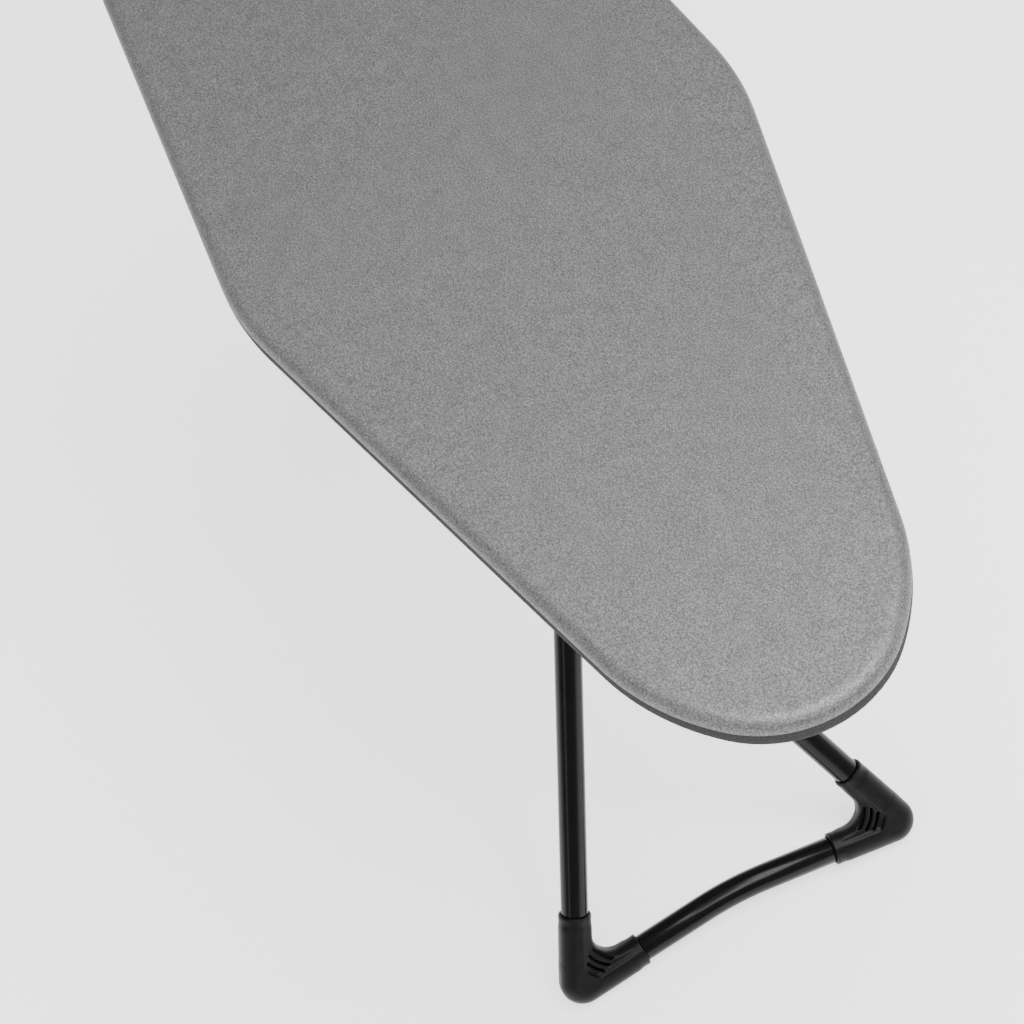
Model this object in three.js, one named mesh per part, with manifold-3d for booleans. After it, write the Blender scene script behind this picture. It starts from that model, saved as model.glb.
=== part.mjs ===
import * as THREE from "three";
import { mergeVertices } from "three/addons/utils/BufferGeometryUtils.js";
import Module from "manifold-3d";

const wasm = await Module();
wasm.setup();

// ---- Driving sizes, mm and degrees. +X is the nose end, +Z is up, Y = 0 is the plane of symmetry. ----
const BOARD_LENGTH = 1200; // over the cover
const BOARD_WIDTH = 380; // between the shoulder corners, before they are rounded
const BOARD_HEIGHT = 870; // floor to the top of the cover
const SHOULDER_FROM_TIP = 468;
const FRONT_TAPER = 13.9; // each front side to the centre line
const REAR_TAPER = 3.9; // each rear side to the centre line
const NOSE_RADIUS = 80;
const NOSE_SWEEP = 45; // the nose arc runs this far to each side of the tip
const SHOULDER_RADIUS = 236;
const TAIL_RADIUS = 48;

const COVER_THICK = 1.4;
const COVER_LIP = 26; // how far in the tucked edge reaches below
const PAD_THICK = 6;
const PAD_INSET = 5;
const PAD_BEVEL = 3.5;
const DECK_THICK = 1;
const RIM_DIAMETER = 15;
const RIM_WALL = 1.2;
const GAP = 0.3; // between pieces that touch

const STEAM_HOLE = 14;
const STEAM_PITCH = 60;

const TUBE_DIAMETER = 25; // leg tubes and foot bars
const TUBE_WALL = 1.2;
const LEG_LENGTH = 995; // foot bar's axis to top pivot, along the leg
const CROSS_FROM_TOP = 300; // cross pivot to top pivot, along the leg
const TOP_PIVOT_DROP = 46; // top pivots below the top of the cover
const TOP_PIVOT_FROM_TIP = 920;
const NOSE_FOOT_HALF = 169.5; // centre line to where a leg tube's axis meets the foot bar's
const TAIL_FOOT_HALF = 108;
const LEG_SPLAY = 22.6; // each leg tube to the centre line, below its bend
const LEG_BEND_RADIUS = 90;
const FOOT_BAR_RISE = 5.85; // each half of the foot bar to the floor, in the leg's plane
const FOOT_BAR_BEND_RADIUS = 320;
const NOSE_LEG_HALF = 21; // centre line to the nose leg's twin tubes, above their bend
const TUBE_SPACE = 5; // between the nose leg's and tail leg's tubes

const ELBOW_WALL = 2.7;
const ELBOW_SOLE = 1.3; // how deep the floor cuts each elbow's flat sole
const ELBOW_CORE = 2; // half the flat between an elbow's two rounded faces
const ELBOW_LEG_MOUTH = 8; // each socket's rim, past the crotch's round
const ELBOW_BAR_MOUTH = 3.5;
const ELBOW_TOE_RADIUS = 20;
const ELBOW_CROTCH_RADIUS = 17;
const SOCKET_STOP = 29; // axes' meeting point to each tube's end
const ELBOW_SCREW = 54; // axes' meeting point to the screw in the leg socket
const SCREW_HOLE = 4.2;
const ELBOW_SLOTS = [
  [41, 18],
  [36, 18],
  [31, 14],
]; // [distance from the axes' meeting point, length]
const ELBOW_SLOT_WIDTH = 2.4;
const ELBOW_SLOT_DEPTH = 4;
const TUBE_OVER_BAR = 14; // the tail leg's tubes run on above the slide bar

const BAR_DIAMETER = 12; // the tail leg's slide bar
const GLIDE_WALL = 0.6;
const AXLE_DIAMETER = 12;
const AXLE_CLEARANCE = 0.4;
const PIVOT_TUBE_WALL = 1.6;
const HINGE_HALF = 112; // centre line to each hinge bracket
const BOLT_DIAMETER = 8;
const SHEET = 1.5; // brackets and rails
const RAIL_LENGTH = 382;
const RAIL_START_FROM_TIP = 274;
const RAIL_FLANGE = 18;
const CROSSMEMBERS_FROM_TIP = [120, 300, 465, 630, 775, TOP_PIVOT_FROM_TIP];
const RAIL_CROSSMEMBERS = [1, 2, 3]; // the ones that the rails are riveted to
const CROSSMEMBER_CROWN = 20;
const CROSSMEMBER_FLANGE = 12;
const RIVET_DIAMETER = 4;

const LEVER_ROD = 7;
const LEVER_AXIS_Y = -34;
const LEVER_BEND_RADIUS = 16;
const LEVER_REACH = 140; // centre line to the end of the handle
const LEVER_FROM_TIP = 690;
const BRAKE_SHEET = 1.5;
const BRAKE_EDGE_Y = 34;
const BRAKE_LINING = 28; // width of the lining that bears on the slide bar
const LEG_ANGLE_MAX = 57; // legs to the board at the highest setting

// ---- Sizes that follow from the ones above ----
const rad = THREE.MathUtils.degToRad;
const tubeRadius = TUBE_DIAMETER / 2;
const elbowRadius = tubeRadius + GAP + ELBOW_WALL;
const footAxisHeight = elbowRadius - ELBOW_SOLE;
const elbowRound = elbowRadius - ELBOW_CORE;
const elbowCorner = rad(90 - LEG_SPLAY - FOOT_BAR_RISE); // between the leg's axis and the foot bar's
const crotchReach = (ELBOW_CROTCH_RADIUS + elbowRadius) / Math.tan(elbowCorner / 2);
const elbowLegReach = crotchReach + elbowRound + ELBOW_LEG_MOUTH;
const elbowBarReach = crotchReach + elbowRound + ELBOW_BAR_MOUTH;
const glideDiameter = BAR_DIAMETER + 2 * (GAP + GLIDE_WALL);
const pivotTubeRadius = AXLE_DIAMETER / 2 + AXLE_CLEARANCE + PIVOT_TUBE_WALL;

// ---- Materials ----
const paint = (color, roughness, metalness) =>
  new THREE.MeshStandardMaterial({ color, roughness, metalness });
const SILVER_CLOTH = () => paint(0x9a9ca0, 0.75, 0.15);
const FELT = () => paint(0xe4e0d4, 0.95, 0);
const DECK_STEEL = () => paint(0xb9bcc0, 0.45, 0.8);
const BLACK_PAINT = () => paint(0x0c0c0d, 0.25, 0.3);
const BLACK_PLASTIC = () => paint(0x131314, 0.45, 0);
const GREY_PLASTIC = () => paint(0x3a3c40, 0.5, 0);
const ZINC = () => paint(0xc4c6c8, 0.35, 0.9);

const part = new THREE.Group();
part.name = "ironing_board";

// ---- Helpers ----
function solid(geometry) {
  const bare = new THREE.BufferGeometry();
  const flat = geometry.index ? geometry.toNonIndexed() : geometry;
  bare.setAttribute("position", flat.getAttribute("position"));
  const merged = mergeVertices(bare, 1e-3);
  return new wasm.Manifold(
    new wasm.Mesh({
      numProp: 3,
      vertProperties: merged.attributes.position.array,
      triVerts: new Uint32Array(merged.index.array),
    }),
  );
}

function geometryOf(body) {
  const mesh = body.getMesh();
  const geometry = new THREE.BufferGeometry();
  geometry.setAttribute("position", new THREE.BufferAttribute(mesh.vertProperties, 3));
  geometry.setIndex(new THREE.BufferAttribute(mesh.triVerts, 1));
  geometry.computeVertexNormals();
  return geometry;
}

function add(name, body, material, group = part) {
  const mesh = new THREE.Mesh(geometryOf(body), material);
  mesh.name = name;
  group.add(mesh);
  return mesh;
}

// A cylinder between two points.
function rod(from, to, radius, sides = 16) {
  const a = new THREE.Vector3(...from);
  const b = new THREE.Vector3(...to);
  const geometry = new THREE.CylinderGeometry(radius, radius, a.distanceTo(b), sides);
  const turn = new THREE.Quaternion();
  turn.setFromUnitVectors(new THREE.Vector3(0, 1, 0), b.clone().sub(a).normalize());
  geometry.applyQuaternion(turn);
  geometry.translate(...a.add(b).multiplyScalar(0.5).toArray());
  return solid(geometry);
}

function block(low, high) {
  const size = high.map((h, i) => h - low[i]);
  const geometry = new THREE.BoxGeometry(...size);
  geometry.translate(...high.map((h, i) => (h + low[i]) / 2));
  return solid(geometry);
}

// A closed outline of [x, y] points pushed along +Z.
function prism(points, depth, holes = []) {
  const shape = new THREE.Shape(points.map((p) => new THREE.Vector2(...p)));
  for (const h of holes) shape.holes.push(new THREE.Path(h.map((p) => new THREE.Vector2(...p))));
  return new THREE.ExtrudeGeometry(shape, { depth, bevelEnabled: false });
}

// A path of straight runs and round bends through the corner points.
class Bent extends THREE.Curve {
  constructor(corners, radii, steps) {
    super();
    const pts = corners.map((c) => new THREE.Vector3(...c));
    this.samples = [];
    const push = (p, t) => this.samples.push({ p, t: t.clone().normalize() });
    push(pts[0], pts[1].clone().sub(pts[0]));
    for (let i = 1; i < pts.length - 1; i++) {
      const into = pts[i].clone().sub(pts[i - 1]).normalize();
      const out = pts[i + 1].clone().sub(pts[i]).normalize();
      const half = into.angleTo(out) / 2;
      const radius = radii[i - 1];
      const start = pts[i].clone().addScaledVector(into, -radius * Math.tan(half));
      const side = out.clone().sub(into).normalize();
      const centre = pts[i].clone().addScaledVector(side, radius / Math.cos(half));
      const axis = into.clone().cross(out).normalize();
      const arm = start.clone().sub(centre);
      for (let k = 0; k <= steps; k++) {
        const a = (2 * half * k) / steps;
        push(centre.clone().add(arm.clone().applyAxisAngle(axis, a)), into.clone().applyAxisAngle(axis, a));
      }
    }
    push(pts.at(-1), pts.at(-1).clone().sub(pts.at(-2)));
  }
  getPoint(u) {
    const at = u * (this.samples.length - 1);
    const i = Math.min(Math.floor(at), this.samples.length - 2);
    return this.samples[i].p.clone().lerp(this.samples[i + 1].p, at - i);
  }
  getPointAt(u) {
    return this.getPoint(u);
  }
  getTangentAt(u) {
    return this.samples[Math.round(u * (this.samples.length - 1))].t.clone();
  }
}

// A round tube, or a round rod if it has no wall, bent along a path.
function tube(path, radius, wall = 0, sides = 14) {
  const section = new THREE.Shape();
  section.absarc(0, 0, radius, 0, 2 * Math.PI);
  if (wall) {
    const bore = new THREE.Path();
    bore.absarc(0, 0, radius - wall, 0, 2 * Math.PI);
    section.holes.push(bore);
  }
  const steps = path.samples.length - 1;
  const options = { extrudePath: path, steps, curveSegments: sides / 2, bevelEnabled: false };
  return solid(new THREE.ExtrudeGeometry(section, options));
}

// A part turned on the lathe: [radius, height] points from axis to axis, stood along a direction.
function turned(profile, at, axis, sides = 12) {
  const geometry = new THREE.LatheGeometry(profile.map((p) => new THREE.Vector2(...p)), sides);
  const turn = new THREE.Quaternion();
  turn.setFromUnitVectors(new THREE.Vector3(0, 1, 0), new THREE.Vector3(...axis));
  geometry.applyQuaternion(turn);
  geometry.translate(...at);
  return solid(geometry);
}

// ---- The board's outline, and its parallel curves ----
const tipX = BOARD_LENGTH / 2;
const fromTip = (distance) => tipX - distance;

const outline = (() => {
  const normal = (a) => new THREE.Vector2(Math.cos(a), Math.sin(a));
  const front = rad(90 - FRONT_TAPER);
  const rear = rad(90 + REAR_TAPER);
  const corner = new THREE.Vector2(fromTip(SHOULDER_FROM_TIP), BOARD_WIDTH / 2);
  const blend = (point, n1, n2, radius) =>
    point.clone().addScaledVector(n1.clone().add(n2), -radius / (1 + n1.dot(n2)));
  const shoulder = blend(corner, normal(front), normal(rear), SHOULDER_RADIUS);
  const tail = new THREE.Vector2(-tipX, corner.y - (corner.x + tipX) * Math.tan(rad(REAR_TAPER)));
  const tailCentre = blend(tail, normal(rear), normal(Math.PI), TAIL_RADIUS);
  const nose = new THREE.Vector2(tipX - NOSE_RADIUS, 0);
  const sweep = rad(NOSE_SWEEP);
  const n = normal(front);
  const more = (n.dot(corner) - n.dot(nose) - NOSE_RADIUS) / (1 - n.dot(normal(sweep)));
  const flank = nose.clone().addScaledVector(normal(sweep), -more);
  const upper = [
    { c: flank, r: NOSE_RADIUS + more, a: sweep, b: front, steps: 6 },
    { c: shoulder, r: SHOULDER_RADIUS, a: front, b: rear, steps: 4 },
    { c: tailCentre, r: TAIL_RADIUS, a: rear, b: Math.PI, steps: 7 },
  ];
  const lower = upper
    .map(({ c, r, a, b, steps }) => ({ c: new THREE.Vector2(c.x, -c.y), r, a: -b, b: -a, steps }))
    .reverse();
  return [{ c: nose, r: NOSE_RADIUS, a: -sweep, b: sweep, steps: 12 }, ...upper, ...lower];
})();

function planPoints(inset) {
  const points = [];
  for (const { c, r, a, b, steps } of outline) {
    for (let k = 0; k <= steps; k++) {
      const angle = a + ((b - a) * k) / steps;
      const p = [c.x + (r - inset) * Math.cos(angle), c.y + (r - inset) * Math.sin(angle)];
      const last = points.at(-1);
      const apart = last ? Math.hypot(p[0] - last[0], p[1] - last[1]) : 1;
      const first = points[0];
      const home = first ? Math.hypot(p[0] - first[0], p[1] - first[1]) : 1;
      if (apart > 0.01 && home > 0.01) points.push(p);
    }
  }
  return points;
}

function slab(inset, z0, z1, bevel = 0, segments = 5) {
  const shape = new THREE.Shape(planPoints(inset + bevel).map((p) => new THREE.Vector2(...p)));
  const geometry = new THREE.ExtrudeGeometry(shape, {
    depth: z1 - z0 - 2 * bevel,
    bevelEnabled: bevel > 0,
    bevelThickness: bevel,
    bevelSize: bevel,
    bevelSegments: segments,
  });
  geometry.translate(0, 0, z0 + bevel);
  return solid(geometry);
}

// ---- Board: cover, pad, deck, rim ----
const rimRadius = RIM_DIAMETER / 2;
const edgeRadius = rimRadius + GAP + COVER_THICK;
const padTop = BOARD_HEIGHT - COVER_THICK - GAP;
const deckTop = padTop - PAD_THICK - GAP;
const deckUnder = deckTop - DECK_THICK;
const rimZ = deckUnder - GAP - rimRadius;
const coverUnder = rimZ - edgeRadius;

const coverOuter = slab(0, coverUnder, BOARD_HEIGHT, edgeRadius);
const coverTop = BOARD_HEIGHT - COVER_THICK;
const coverInner = slab(COVER_THICK, coverUnder + COVER_THICK, coverTop, edgeRadius - COVER_THICK);
const coverMouth = slab(COVER_LIP, coverUnder - 5, coverUnder + 5);
add("cover", coverOuter.subtract(coverInner).subtract(coverMouth), SILVER_CLOTH());

const padLow = slab(PAD_INSET, deckTop + GAP, padTop - PAD_BEVEL);
const padHigh = slab(PAD_INSET, padTop - 3 * PAD_BEVEL, padTop, PAD_BEVEL, 3);
const padCut = slab(-20, deckTop - 30, deckTop + GAP);
add("pad", padLow.add(padHigh).subtract(padCut), FELT());

const deckInset = edgeRadius;
const steamHoles = [];
{
  const rowStep = STEAM_PITCH * Math.sqrt(0.75);
  const edge = planPoints(deckInset + 26).map((p) => new THREE.Vector2(...p));
  const inside = (x, y) => {
    let odd = false;
    edge.forEach((p, i) => {
      const q = edge[(i + 1) % edge.length];
      if (p.y > y !== q.y > y && x < p.x + ((y - p.y) * (q.x - p.x)) / (q.y - p.y)) odd = !odd;
    });
    return odd;
  };
  for (let row = -5; row <= 5; row++) {
    const shift = row % 2 ? STEAM_PITCH / 2 : 0;
    for (let x = -tipX + shift; x < tipX; x += STEAM_PITCH) {
      const y = row * rowStep;
      const clear = CROSSMEMBERS_FROM_TIP.every((d) => Math.abs(x - fromTip(d)) > STEAM_HOLE / 2 + 11);
      if (clear && inside(x, y)) steamHoles.push([x, y]);
    }
  }
}
const hexagon = ([x, y], radius) =>
  [5, 4, 3, 2, 1, 0].map((k) => [
    x + radius * Math.cos((k * Math.PI) / 3),
    y + radius * Math.sin((k * Math.PI) / 3),
  ]);
const deckHoles = steamHoles.map((h) => hexagon(h, STEAM_HOLE / 2));
const deckGeometry = prism(planPoints(deckInset), DECK_THICK, deckHoles);
deckGeometry.translate(0, 0, deckUnder);
add("deck", solid(deckGeometry), DECK_STEEL());

{
  // One tube bent round the whole outline, its two ends meeting at the middle of the tail.
  const points = planPoints(edgeRadius);
  const split = points.findIndex((p, i) => {
    const q = points[(i + 1) % points.length];
    return p[0] < 0 && p[1] > 0 && q[1] < 0;
  });
  const tailX = points[split][0];
  const ring = [[tailX, -GAP], ...points.slice(split + 1), ...points.slice(0, split + 1), [tailX, GAP]];
  const path = new Bent([[0, 0, 0], [1, 0, 0]], [], 1);
  path.samples = ring.map(([x, y], i) => {
    const before = ring[Math.max(i - 1, 0)];
    const after = ring[Math.min(i + 1, ring.length - 1)];
    const t = new THREE.Vector3(after[0] - before[0], after[1] - before[1], 0).normalize();
    return { p: new THREE.Vector3(x, y, rimZ), t };
  });
  path.samples[0].t.set(0, -1, 0);
  path.samples.at(-1).t.set(0, -1, 0);
  add("rim_tube", tube(path, rimRadius, RIM_WALL, 12), BLACK_PAINT());
}

// ---- Crossmembers: hat-section strips between the rim's two sides ----
const crownTop = deckUnder - GAP;
const hatUnder = rimZ - 4.3;
const hatTop = hatUnder + SHEET;
const railTop = hatUnder - GAP;
const rivetHoles = [];
const rivet = (name, x, y, z0, z1) => rivetHoles.push({ name, x, y, z0, z1 });

const rimInside = slab(edgeRadius + rimRadius + GAP, rimZ - 40, rimZ + 40);
const crossmembers = CROSSMEMBERS_FROM_TIP.map((distance, i) => {
  const c = CROSSMEMBER_CROWN / 2;
  const f = c + CROSSMEMBER_FLANGE;
  const section = [
    [-f, hatUnder],
    [-c + SHEET, hatUnder],
    [-c + SHEET, crownTop - SHEET],
    [c - SHEET, crownTop - SHEET],
    [c - SHEET, hatUnder],
    [f, hatUnder],
    [f, hatTop],
    [c, hatTop],
    [c, crownTop],
    [-c, crownTop],
    [-c, hatTop],
    [-f, hatTop],
  ];
  const geometry = prism(section, BOARD_WIDTH);
  geometry.translate(0, 0, -BOARD_WIDTH / 2);
  geometry.rotateX(Math.PI / 2);
  geometry.translate(fromTip(distance), 0, 0);
  return { name: "crossmember_" + (i + 1), x: fromTip(distance), body: solid(geometry).intersect(rimInside) };
});

// ---- Leg geometry in the side view ----
const pivotZ = BOARD_HEIGHT - TOP_PIVOT_DROP;
const alpha = Math.asin((pivotZ - footAxisHeight) / LEG_LENGTH);
const hingeX = fromTip(TOP_PIVOT_FROM_TIP);
const crossX = hingeX + CROSS_FROM_TOP * Math.cos(alpha);
const crossZ = pivotZ - CROSS_FROM_TOP * Math.sin(alpha);
const barX = hingeX + 2 * CROSS_FROM_TOP * Math.cos(alpha);

// Each leg is built flat: Y is across, Z runs up the leg from the foot bar's axis.
function legGroup(footX, towardsNose) {
  const group = new THREE.Group();
  group.position.set(footX, 0, footAxisHeight);
  group.rotation.y = (towardsNose ? 1 : -1) * (Math.PI / 2 - alpha);
  part.add(group);
  return group;
}
const noseLeg = legGroup(hingeX + LEG_LENGTH * Math.cos(alpha), false);
const tailLeg = legGroup(barX - LEG_LENGTH * Math.cos(alpha), true);
const crossV = LEG_LENGTH - CROSS_FROM_TOP;

const legDirection = (side) => [-side * Math.sin(rad(LEG_SPLAY)), Math.cos(rad(LEG_SPLAY))];
const barDirection = (side) => [-side * Math.cos(rad(FOOT_BAR_RISE)), Math.sin(rad(FOOT_BAR_RISE))];
const along = (side, span, [u, v], s) => [0, side * span + u * s, v * s];

// ---- Elbows: moulded corner pieces that join each leg tube to the foot bar and stand on the floor ----
function elbow(side, span, back) {
  const eL = new THREE.Vector2(...legDirection(side));
  const eB = new THREE.Vector2(...barDirection(side));
  const O = new THREE.Vector2(side * span, 0);
  const outwards = (e, other) => {
    const n = new THREE.Vector2(-e.y, e.x);
    return n.dot(other) > 0 ? n.negate() : n;
  };
  const nL = outwards(eL, eB);
  const nB = outwards(eB, eL);
  const half = elbowCorner / 2;
  const middle = eL.clone().add(eB).normalize();
  const arcPoints = (centre, radius, from, to, steps) => {
    const a0 = Math.atan2(from.y, from.x);
    let turn = Math.atan2(to.y, to.x) - a0;
    if (turn > Math.PI) turn -= 2 * Math.PI;
    if (turn < -Math.PI) turn += 2 * Math.PI;
    return Array.from({ length: steps + 1 }, (_, k) => {
      const a = a0 + (turn * k) / steps;
      return [centre.x + radius * Math.cos(a), centre.y + radius * Math.sin(a)];
    });
  };
  const toe = ELBOW_TOE_RADIUS - elbowRound;
  const toeCentre = O.clone().addScaledVector(middle, (toe - ELBOW_CORE) / Math.sin(half));
  const crotch = ELBOW_CROTCH_RADIUS + elbowRound;
  const crotchCentre = O.clone().addScaledVector(middle, (crotch + ELBOW_CORE) / Math.sin(half));
  const at = (e, s, n, w) => O.clone().addScaledVector(e, s).addScaledVector(n, w).toArray();
  const contour = [
    at(eL, elbowLegReach - elbowRound, nL, ELBOW_CORE),
    ...arcPoints(toeCentre, toe, nL, nB, 6),
    at(eB, elbowBarReach - elbowRound, nB, ELBOW_CORE),
    at(eB, elbowBarReach - elbowRound, nB, -ELBOW_CORE),
    ...arcPoints(crotchCentre, crotch, nB, nL, 6),
    at(eL, elbowLegReach - elbowRound, nL, -ELBOW_CORE),
  ];
  const shape = new THREE.Shape(contour.map((p) => new THREE.Vector2(...p)));
  const geometry = new THREE.ExtrudeGeometry(shape, {
    depth: 2 * ELBOW_CORE,
    bevelEnabled: true,
    bevelThickness: elbowRound,
    bevelSize: elbowRound,
    bevelSegments: 3,
  });
  geometry.translate(0, 0, -ELBOW_CORE);
  geometry.rotateX(Math.PI / 2);
  geometry.rotateZ(Math.PI / 2);
  const on = (e, s, x = 0) => [x, O.x + e.x * s, O.y + e.y * s];
  const bore = (tubeRadius + GAP) / Math.cos(Math.PI / 20);
  let body = solid(geometry)
    .add(rod(on(eL, SOCKET_STOP), on(eL, elbowLegReach), elbowRadius, 20))
    .add(rod(on(eB, SOCKET_STOP), on(eB, elbowBarReach), elbowRadius, 20))
    .subtract(rod(on(eL, SOCKET_STOP - GAP), on(eL, elbowLegReach + 5), bore, 20))
    .subtract(rod(on(eB, SOCKET_STOP - GAP), on(eB, elbowBarReach + 5), bore, 20))
    .subtract(rod(on(eL, ELBOW_SCREW, back * 5), on(eL, ELBOW_SCREW, back * 25), SCREW_HOLE / 2, 8));
  for (const [distance, length] of ELBOW_SLOTS) {
    for (const face of [-1, 1]) {
      const slot = new THREE.BoxGeometry(2 * ELBOW_SLOT_DEPTH, length, ELBOW_SLOT_WIDTH);
      slot.translate(face * elbowRadius, 0, 0);
      slot.rotateX(Math.atan2(-middle.x, middle.y));
      slot.translate(0, O.x + middle.x * distance, O.y + middle.y * distance);
      body = body.subtract(solid(slot));
    }
  }
  return body;
}

function screw(side, span, back) {
  const [, y, z] = along(side, span, legDirection(side), ELBOW_SCREW);
  const face = elbowRadius + GAP;
  const profile = [
    [0, -8],
    [SCREW_HOLE / 2 - GAP, -8],
    [SCREW_HOLE / 2 - GAP, 0],
    [4, 0],
    [3.6, 1.4],
    [2.2, 2.3],
    [0, 2.3],
  ];
  return turned(profile, [back * face, y, z], [back, 0, 0], 10);
}

// ---- Legs: two splayed tubes, a bowed foot bar and two elbows each; the twin tubes nest at the top ----
const tailLegHalf = NOSE_LEG_HALF + TUBE_DIAMETER + TUBE_SPACE;
const sides = [
  ["left", 1],
  ["right", -1],
];
part.updateMatrixWorld(true);
for (const [leg, group, span, half, top, back] of [
  ["nose_leg", noseLeg, NOSE_FOOT_HALF, NOSE_LEG_HALF, LEG_LENGTH - 3, -1],
  ["tail_leg", tailLeg, TAIL_FOOT_HALF, tailLegHalf, LEG_LENGTH + TUBE_OVER_BAR, 1],
]) {
  const floor = new THREE.BoxGeometry(400, 600, 40);
  floor.translate(group.position.x, 0, -20);
  floor.applyMatrix4(group.matrixWorld.clone().invert());
  const crossHole = rod([0, -99, crossV], [0, 99, crossV], BOLT_DIAMETER / 2 + 2 * GAP, 12);
  const topHole =
    leg === "nose_leg"
      ? rod([0, -99, LEG_LENGTH], [0, 99, LEG_LENGTH], pivotTubeRadius + GAP, 20)
      : rod([0, -99, LEG_LENGTH], [0, 99, LEG_LENGTH], BAR_DIAMETER / 2 + GAP, 16);
  for (const [name, side] of sides) {
    const bendV = (span - half) / Math.tan(rad(LEG_SPLAY));
    const start = along(side, span, legDirection(side), SOCKET_STOP);
    const path = new Bent([start, [0, side * half, bendV], [0, side * half, top]], [LEG_BEND_RADIUS], 5);
    const [, sy, sz] = along(side, span, legDirection(side), ELBOW_SCREW);
    const pilot = rod([back * 8, sy, sz], [back * 20, sy, sz], SCREW_HOLE / 2, 8);
    const body = tube(path, tubeRadius, TUBE_WALL).subtract(crossHole).subtract(topHole).subtract(pilot);
    add(leg + "_tube_" + name, body, BLACK_PAINT(), group);
    add(leg + "_elbow_" + name, elbow(side, span, back).subtract(solid(floor)), BLACK_PLASTIC(), group);
    add(leg + "_screw_" + name, screw(side, span, back), ZINC(), group);
  }
  const middle = [0, 0, span * Math.tan(rad(FOOT_BAR_RISE))];
  const ends = sides.map(([, side]) => along(side, span, barDirection(side), SOCKET_STOP));
  const bar = new Bent([ends[0], middle, ends[1]], [FOOT_BAR_BEND_RADIUS], 5);
  add(leg + "_foot_bar", tube(bar, tubeRadius, TUBE_WALL), BLACK_PAINT(), group);
}

// The nose leg's top: a pivot tube welded across its twin tubes, turning on the hinge axle.
const pivotHalf = HINGE_HALF - 2 * GAP;
const pivotEnds = [
  [0, -pivotHalf, LEG_LENGTH],
  [0, pivotHalf, LEG_LENGTH],
];
const pivotBore = pivotTubeRadius - PIVOT_TUBE_WALL;
const pivotTube = rod(...pivotEnds, pivotTubeRadius, 20).subtract(
  rod([0, -HINGE_HALF - 9, LEG_LENGTH], [0, HINGE_HALF + 9, LEG_LENGTH], pivotBore, 20),
);
add("nose_leg_pivot_tube", pivotTube, BLACK_PAINT(), noseLeg);

// The tail leg's top: a slide bar through its twin tubes, with a glide on each end and a cap in each tube.
const railY = tailLegHalf + tubeRadius + 2.5;
const glideFlange = 1.6;
const barHalf = railY + SHEET + 2 * GAP + glideFlange + 2;
add(
  "slide_bar",
  rod([0, -barHalf, LEG_LENGTH], [0, barHalf, LEG_LENGTH], BAR_DIAMETER / 2, 16),
  ZINC(),
  tailLeg,
);
for (const [name, side] of sides) {
  const glideIn = railY - GAP - glideFlange;
  const glideOut = railY + SHEET + GAP + glideFlange;
  const profile = [
    [0, glideIn],
    [glideDiameter / 2 + 3, glideIn],
    [glideDiameter / 2 + 3, glideIn + glideFlange],
    [glideDiameter / 2, glideIn + glideFlange],
    [glideDiameter / 2, glideOut - glideFlange],
    [glideDiameter / 2 + 3, glideOut - glideFlange],
    [glideDiameter / 2 + 3, glideOut],
    [0, glideOut],
  ];
  const bore = rod([0, -99, LEG_LENGTH], [0, 99, LEG_LENGTH], BAR_DIAMETER / 2 + GAP, 16);
  const glide = turned(profile, [0, 0, LEG_LENGTH], [0, side, 0], 16).subtract(bore);
  add("glide_" + name, glide, GREY_PLASTIC(), tailLeg);
  const capZ = LEG_LENGTH + TUBE_OVER_BAR + GAP;
  const capProfile = [
    [0, -5],
    [tubeRadius - TUBE_WALL - 2 * GAP, -5],
    [tubeRadius - TUBE_WALL - 2 * GAP, 0],
    [tubeRadius, 0],
    [tubeRadius - 1, 1.8],
    [0, 2.2],
  ];
  const cap = turned(capProfile, [0, side * tailLegHalf, capZ], [0, 0, 1], 14);
  add("tail_leg_cap_" + name, cap, BLACK_PLASTIC(), tailLeg);
}

// ---- Cross pivot: one bolt through all four tubes, a spacer and washers between them, and a cap nut ----
const boltFace = tailLegHalf + tubeRadius + GAP;
const hexOf = (across, depth) => {
  const corner = across / 2 / Math.cos(Math.PI / 6);
  return new THREE.CylinderGeometry(corner, corner, depth, 6);
};
const boltHead = hexOf(13, 5.3);
boltHead.translate(0, -boltFace - 2.65, crossV);
const boltBody = solid(boltHead).add(
  rod([0, -boltFace - 1, crossV], [0, boltFace + 7, crossV], BOLT_DIAMETER / 2, 12),
);
add("cross_bolt", boltBody, ZINC(), noseLeg);
const nut = hexOf(13, 6.5);
nut.translate(0, boltFace + 3.25, crossV);
const nutDome = new THREE.SphereGeometry(6, 12, 8);
nutDome.translate(0, boltFace + 6.5, crossV);
const nutBore = rod([0, boltFace - 2, crossV], [0, boltFace + 7 + GAP, crossV], BOLT_DIAMETER / 2 + GAP, 12);
add("cross_nut", solid(nut).add(solid(nutDome)).subtract(nutBore), ZINC(), noseLeg);
const ringBetween = (y0, y1, radius) =>
  rod([0, y0, crossV], [0, y1, crossV], radius, 16).subtract(
    rod([0, y0 - 1, crossV], [0, y1 + 1, crossV], BOLT_DIAMETER / 2 + GAP, 12),
  );
const twinGap = NOSE_LEG_HALF - tubeRadius - GAP;
add("cross_spacer", ringBetween(-twinGap, twinGap, 8), GREY_PLASTIC(), noseLeg);
for (const [name, side] of sides) {
  const inner = side * (NOSE_LEG_HALF + tubeRadius + GAP);
  const outer = side * (tailLegHalf - tubeRadius - GAP);
  const washer = ringBetween(Math.min(inner, outer), Math.max(inner, outer), 11);
  add("cross_washer_" + name, washer, GREY_PLASTIC(), noseLeg);
}

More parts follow.
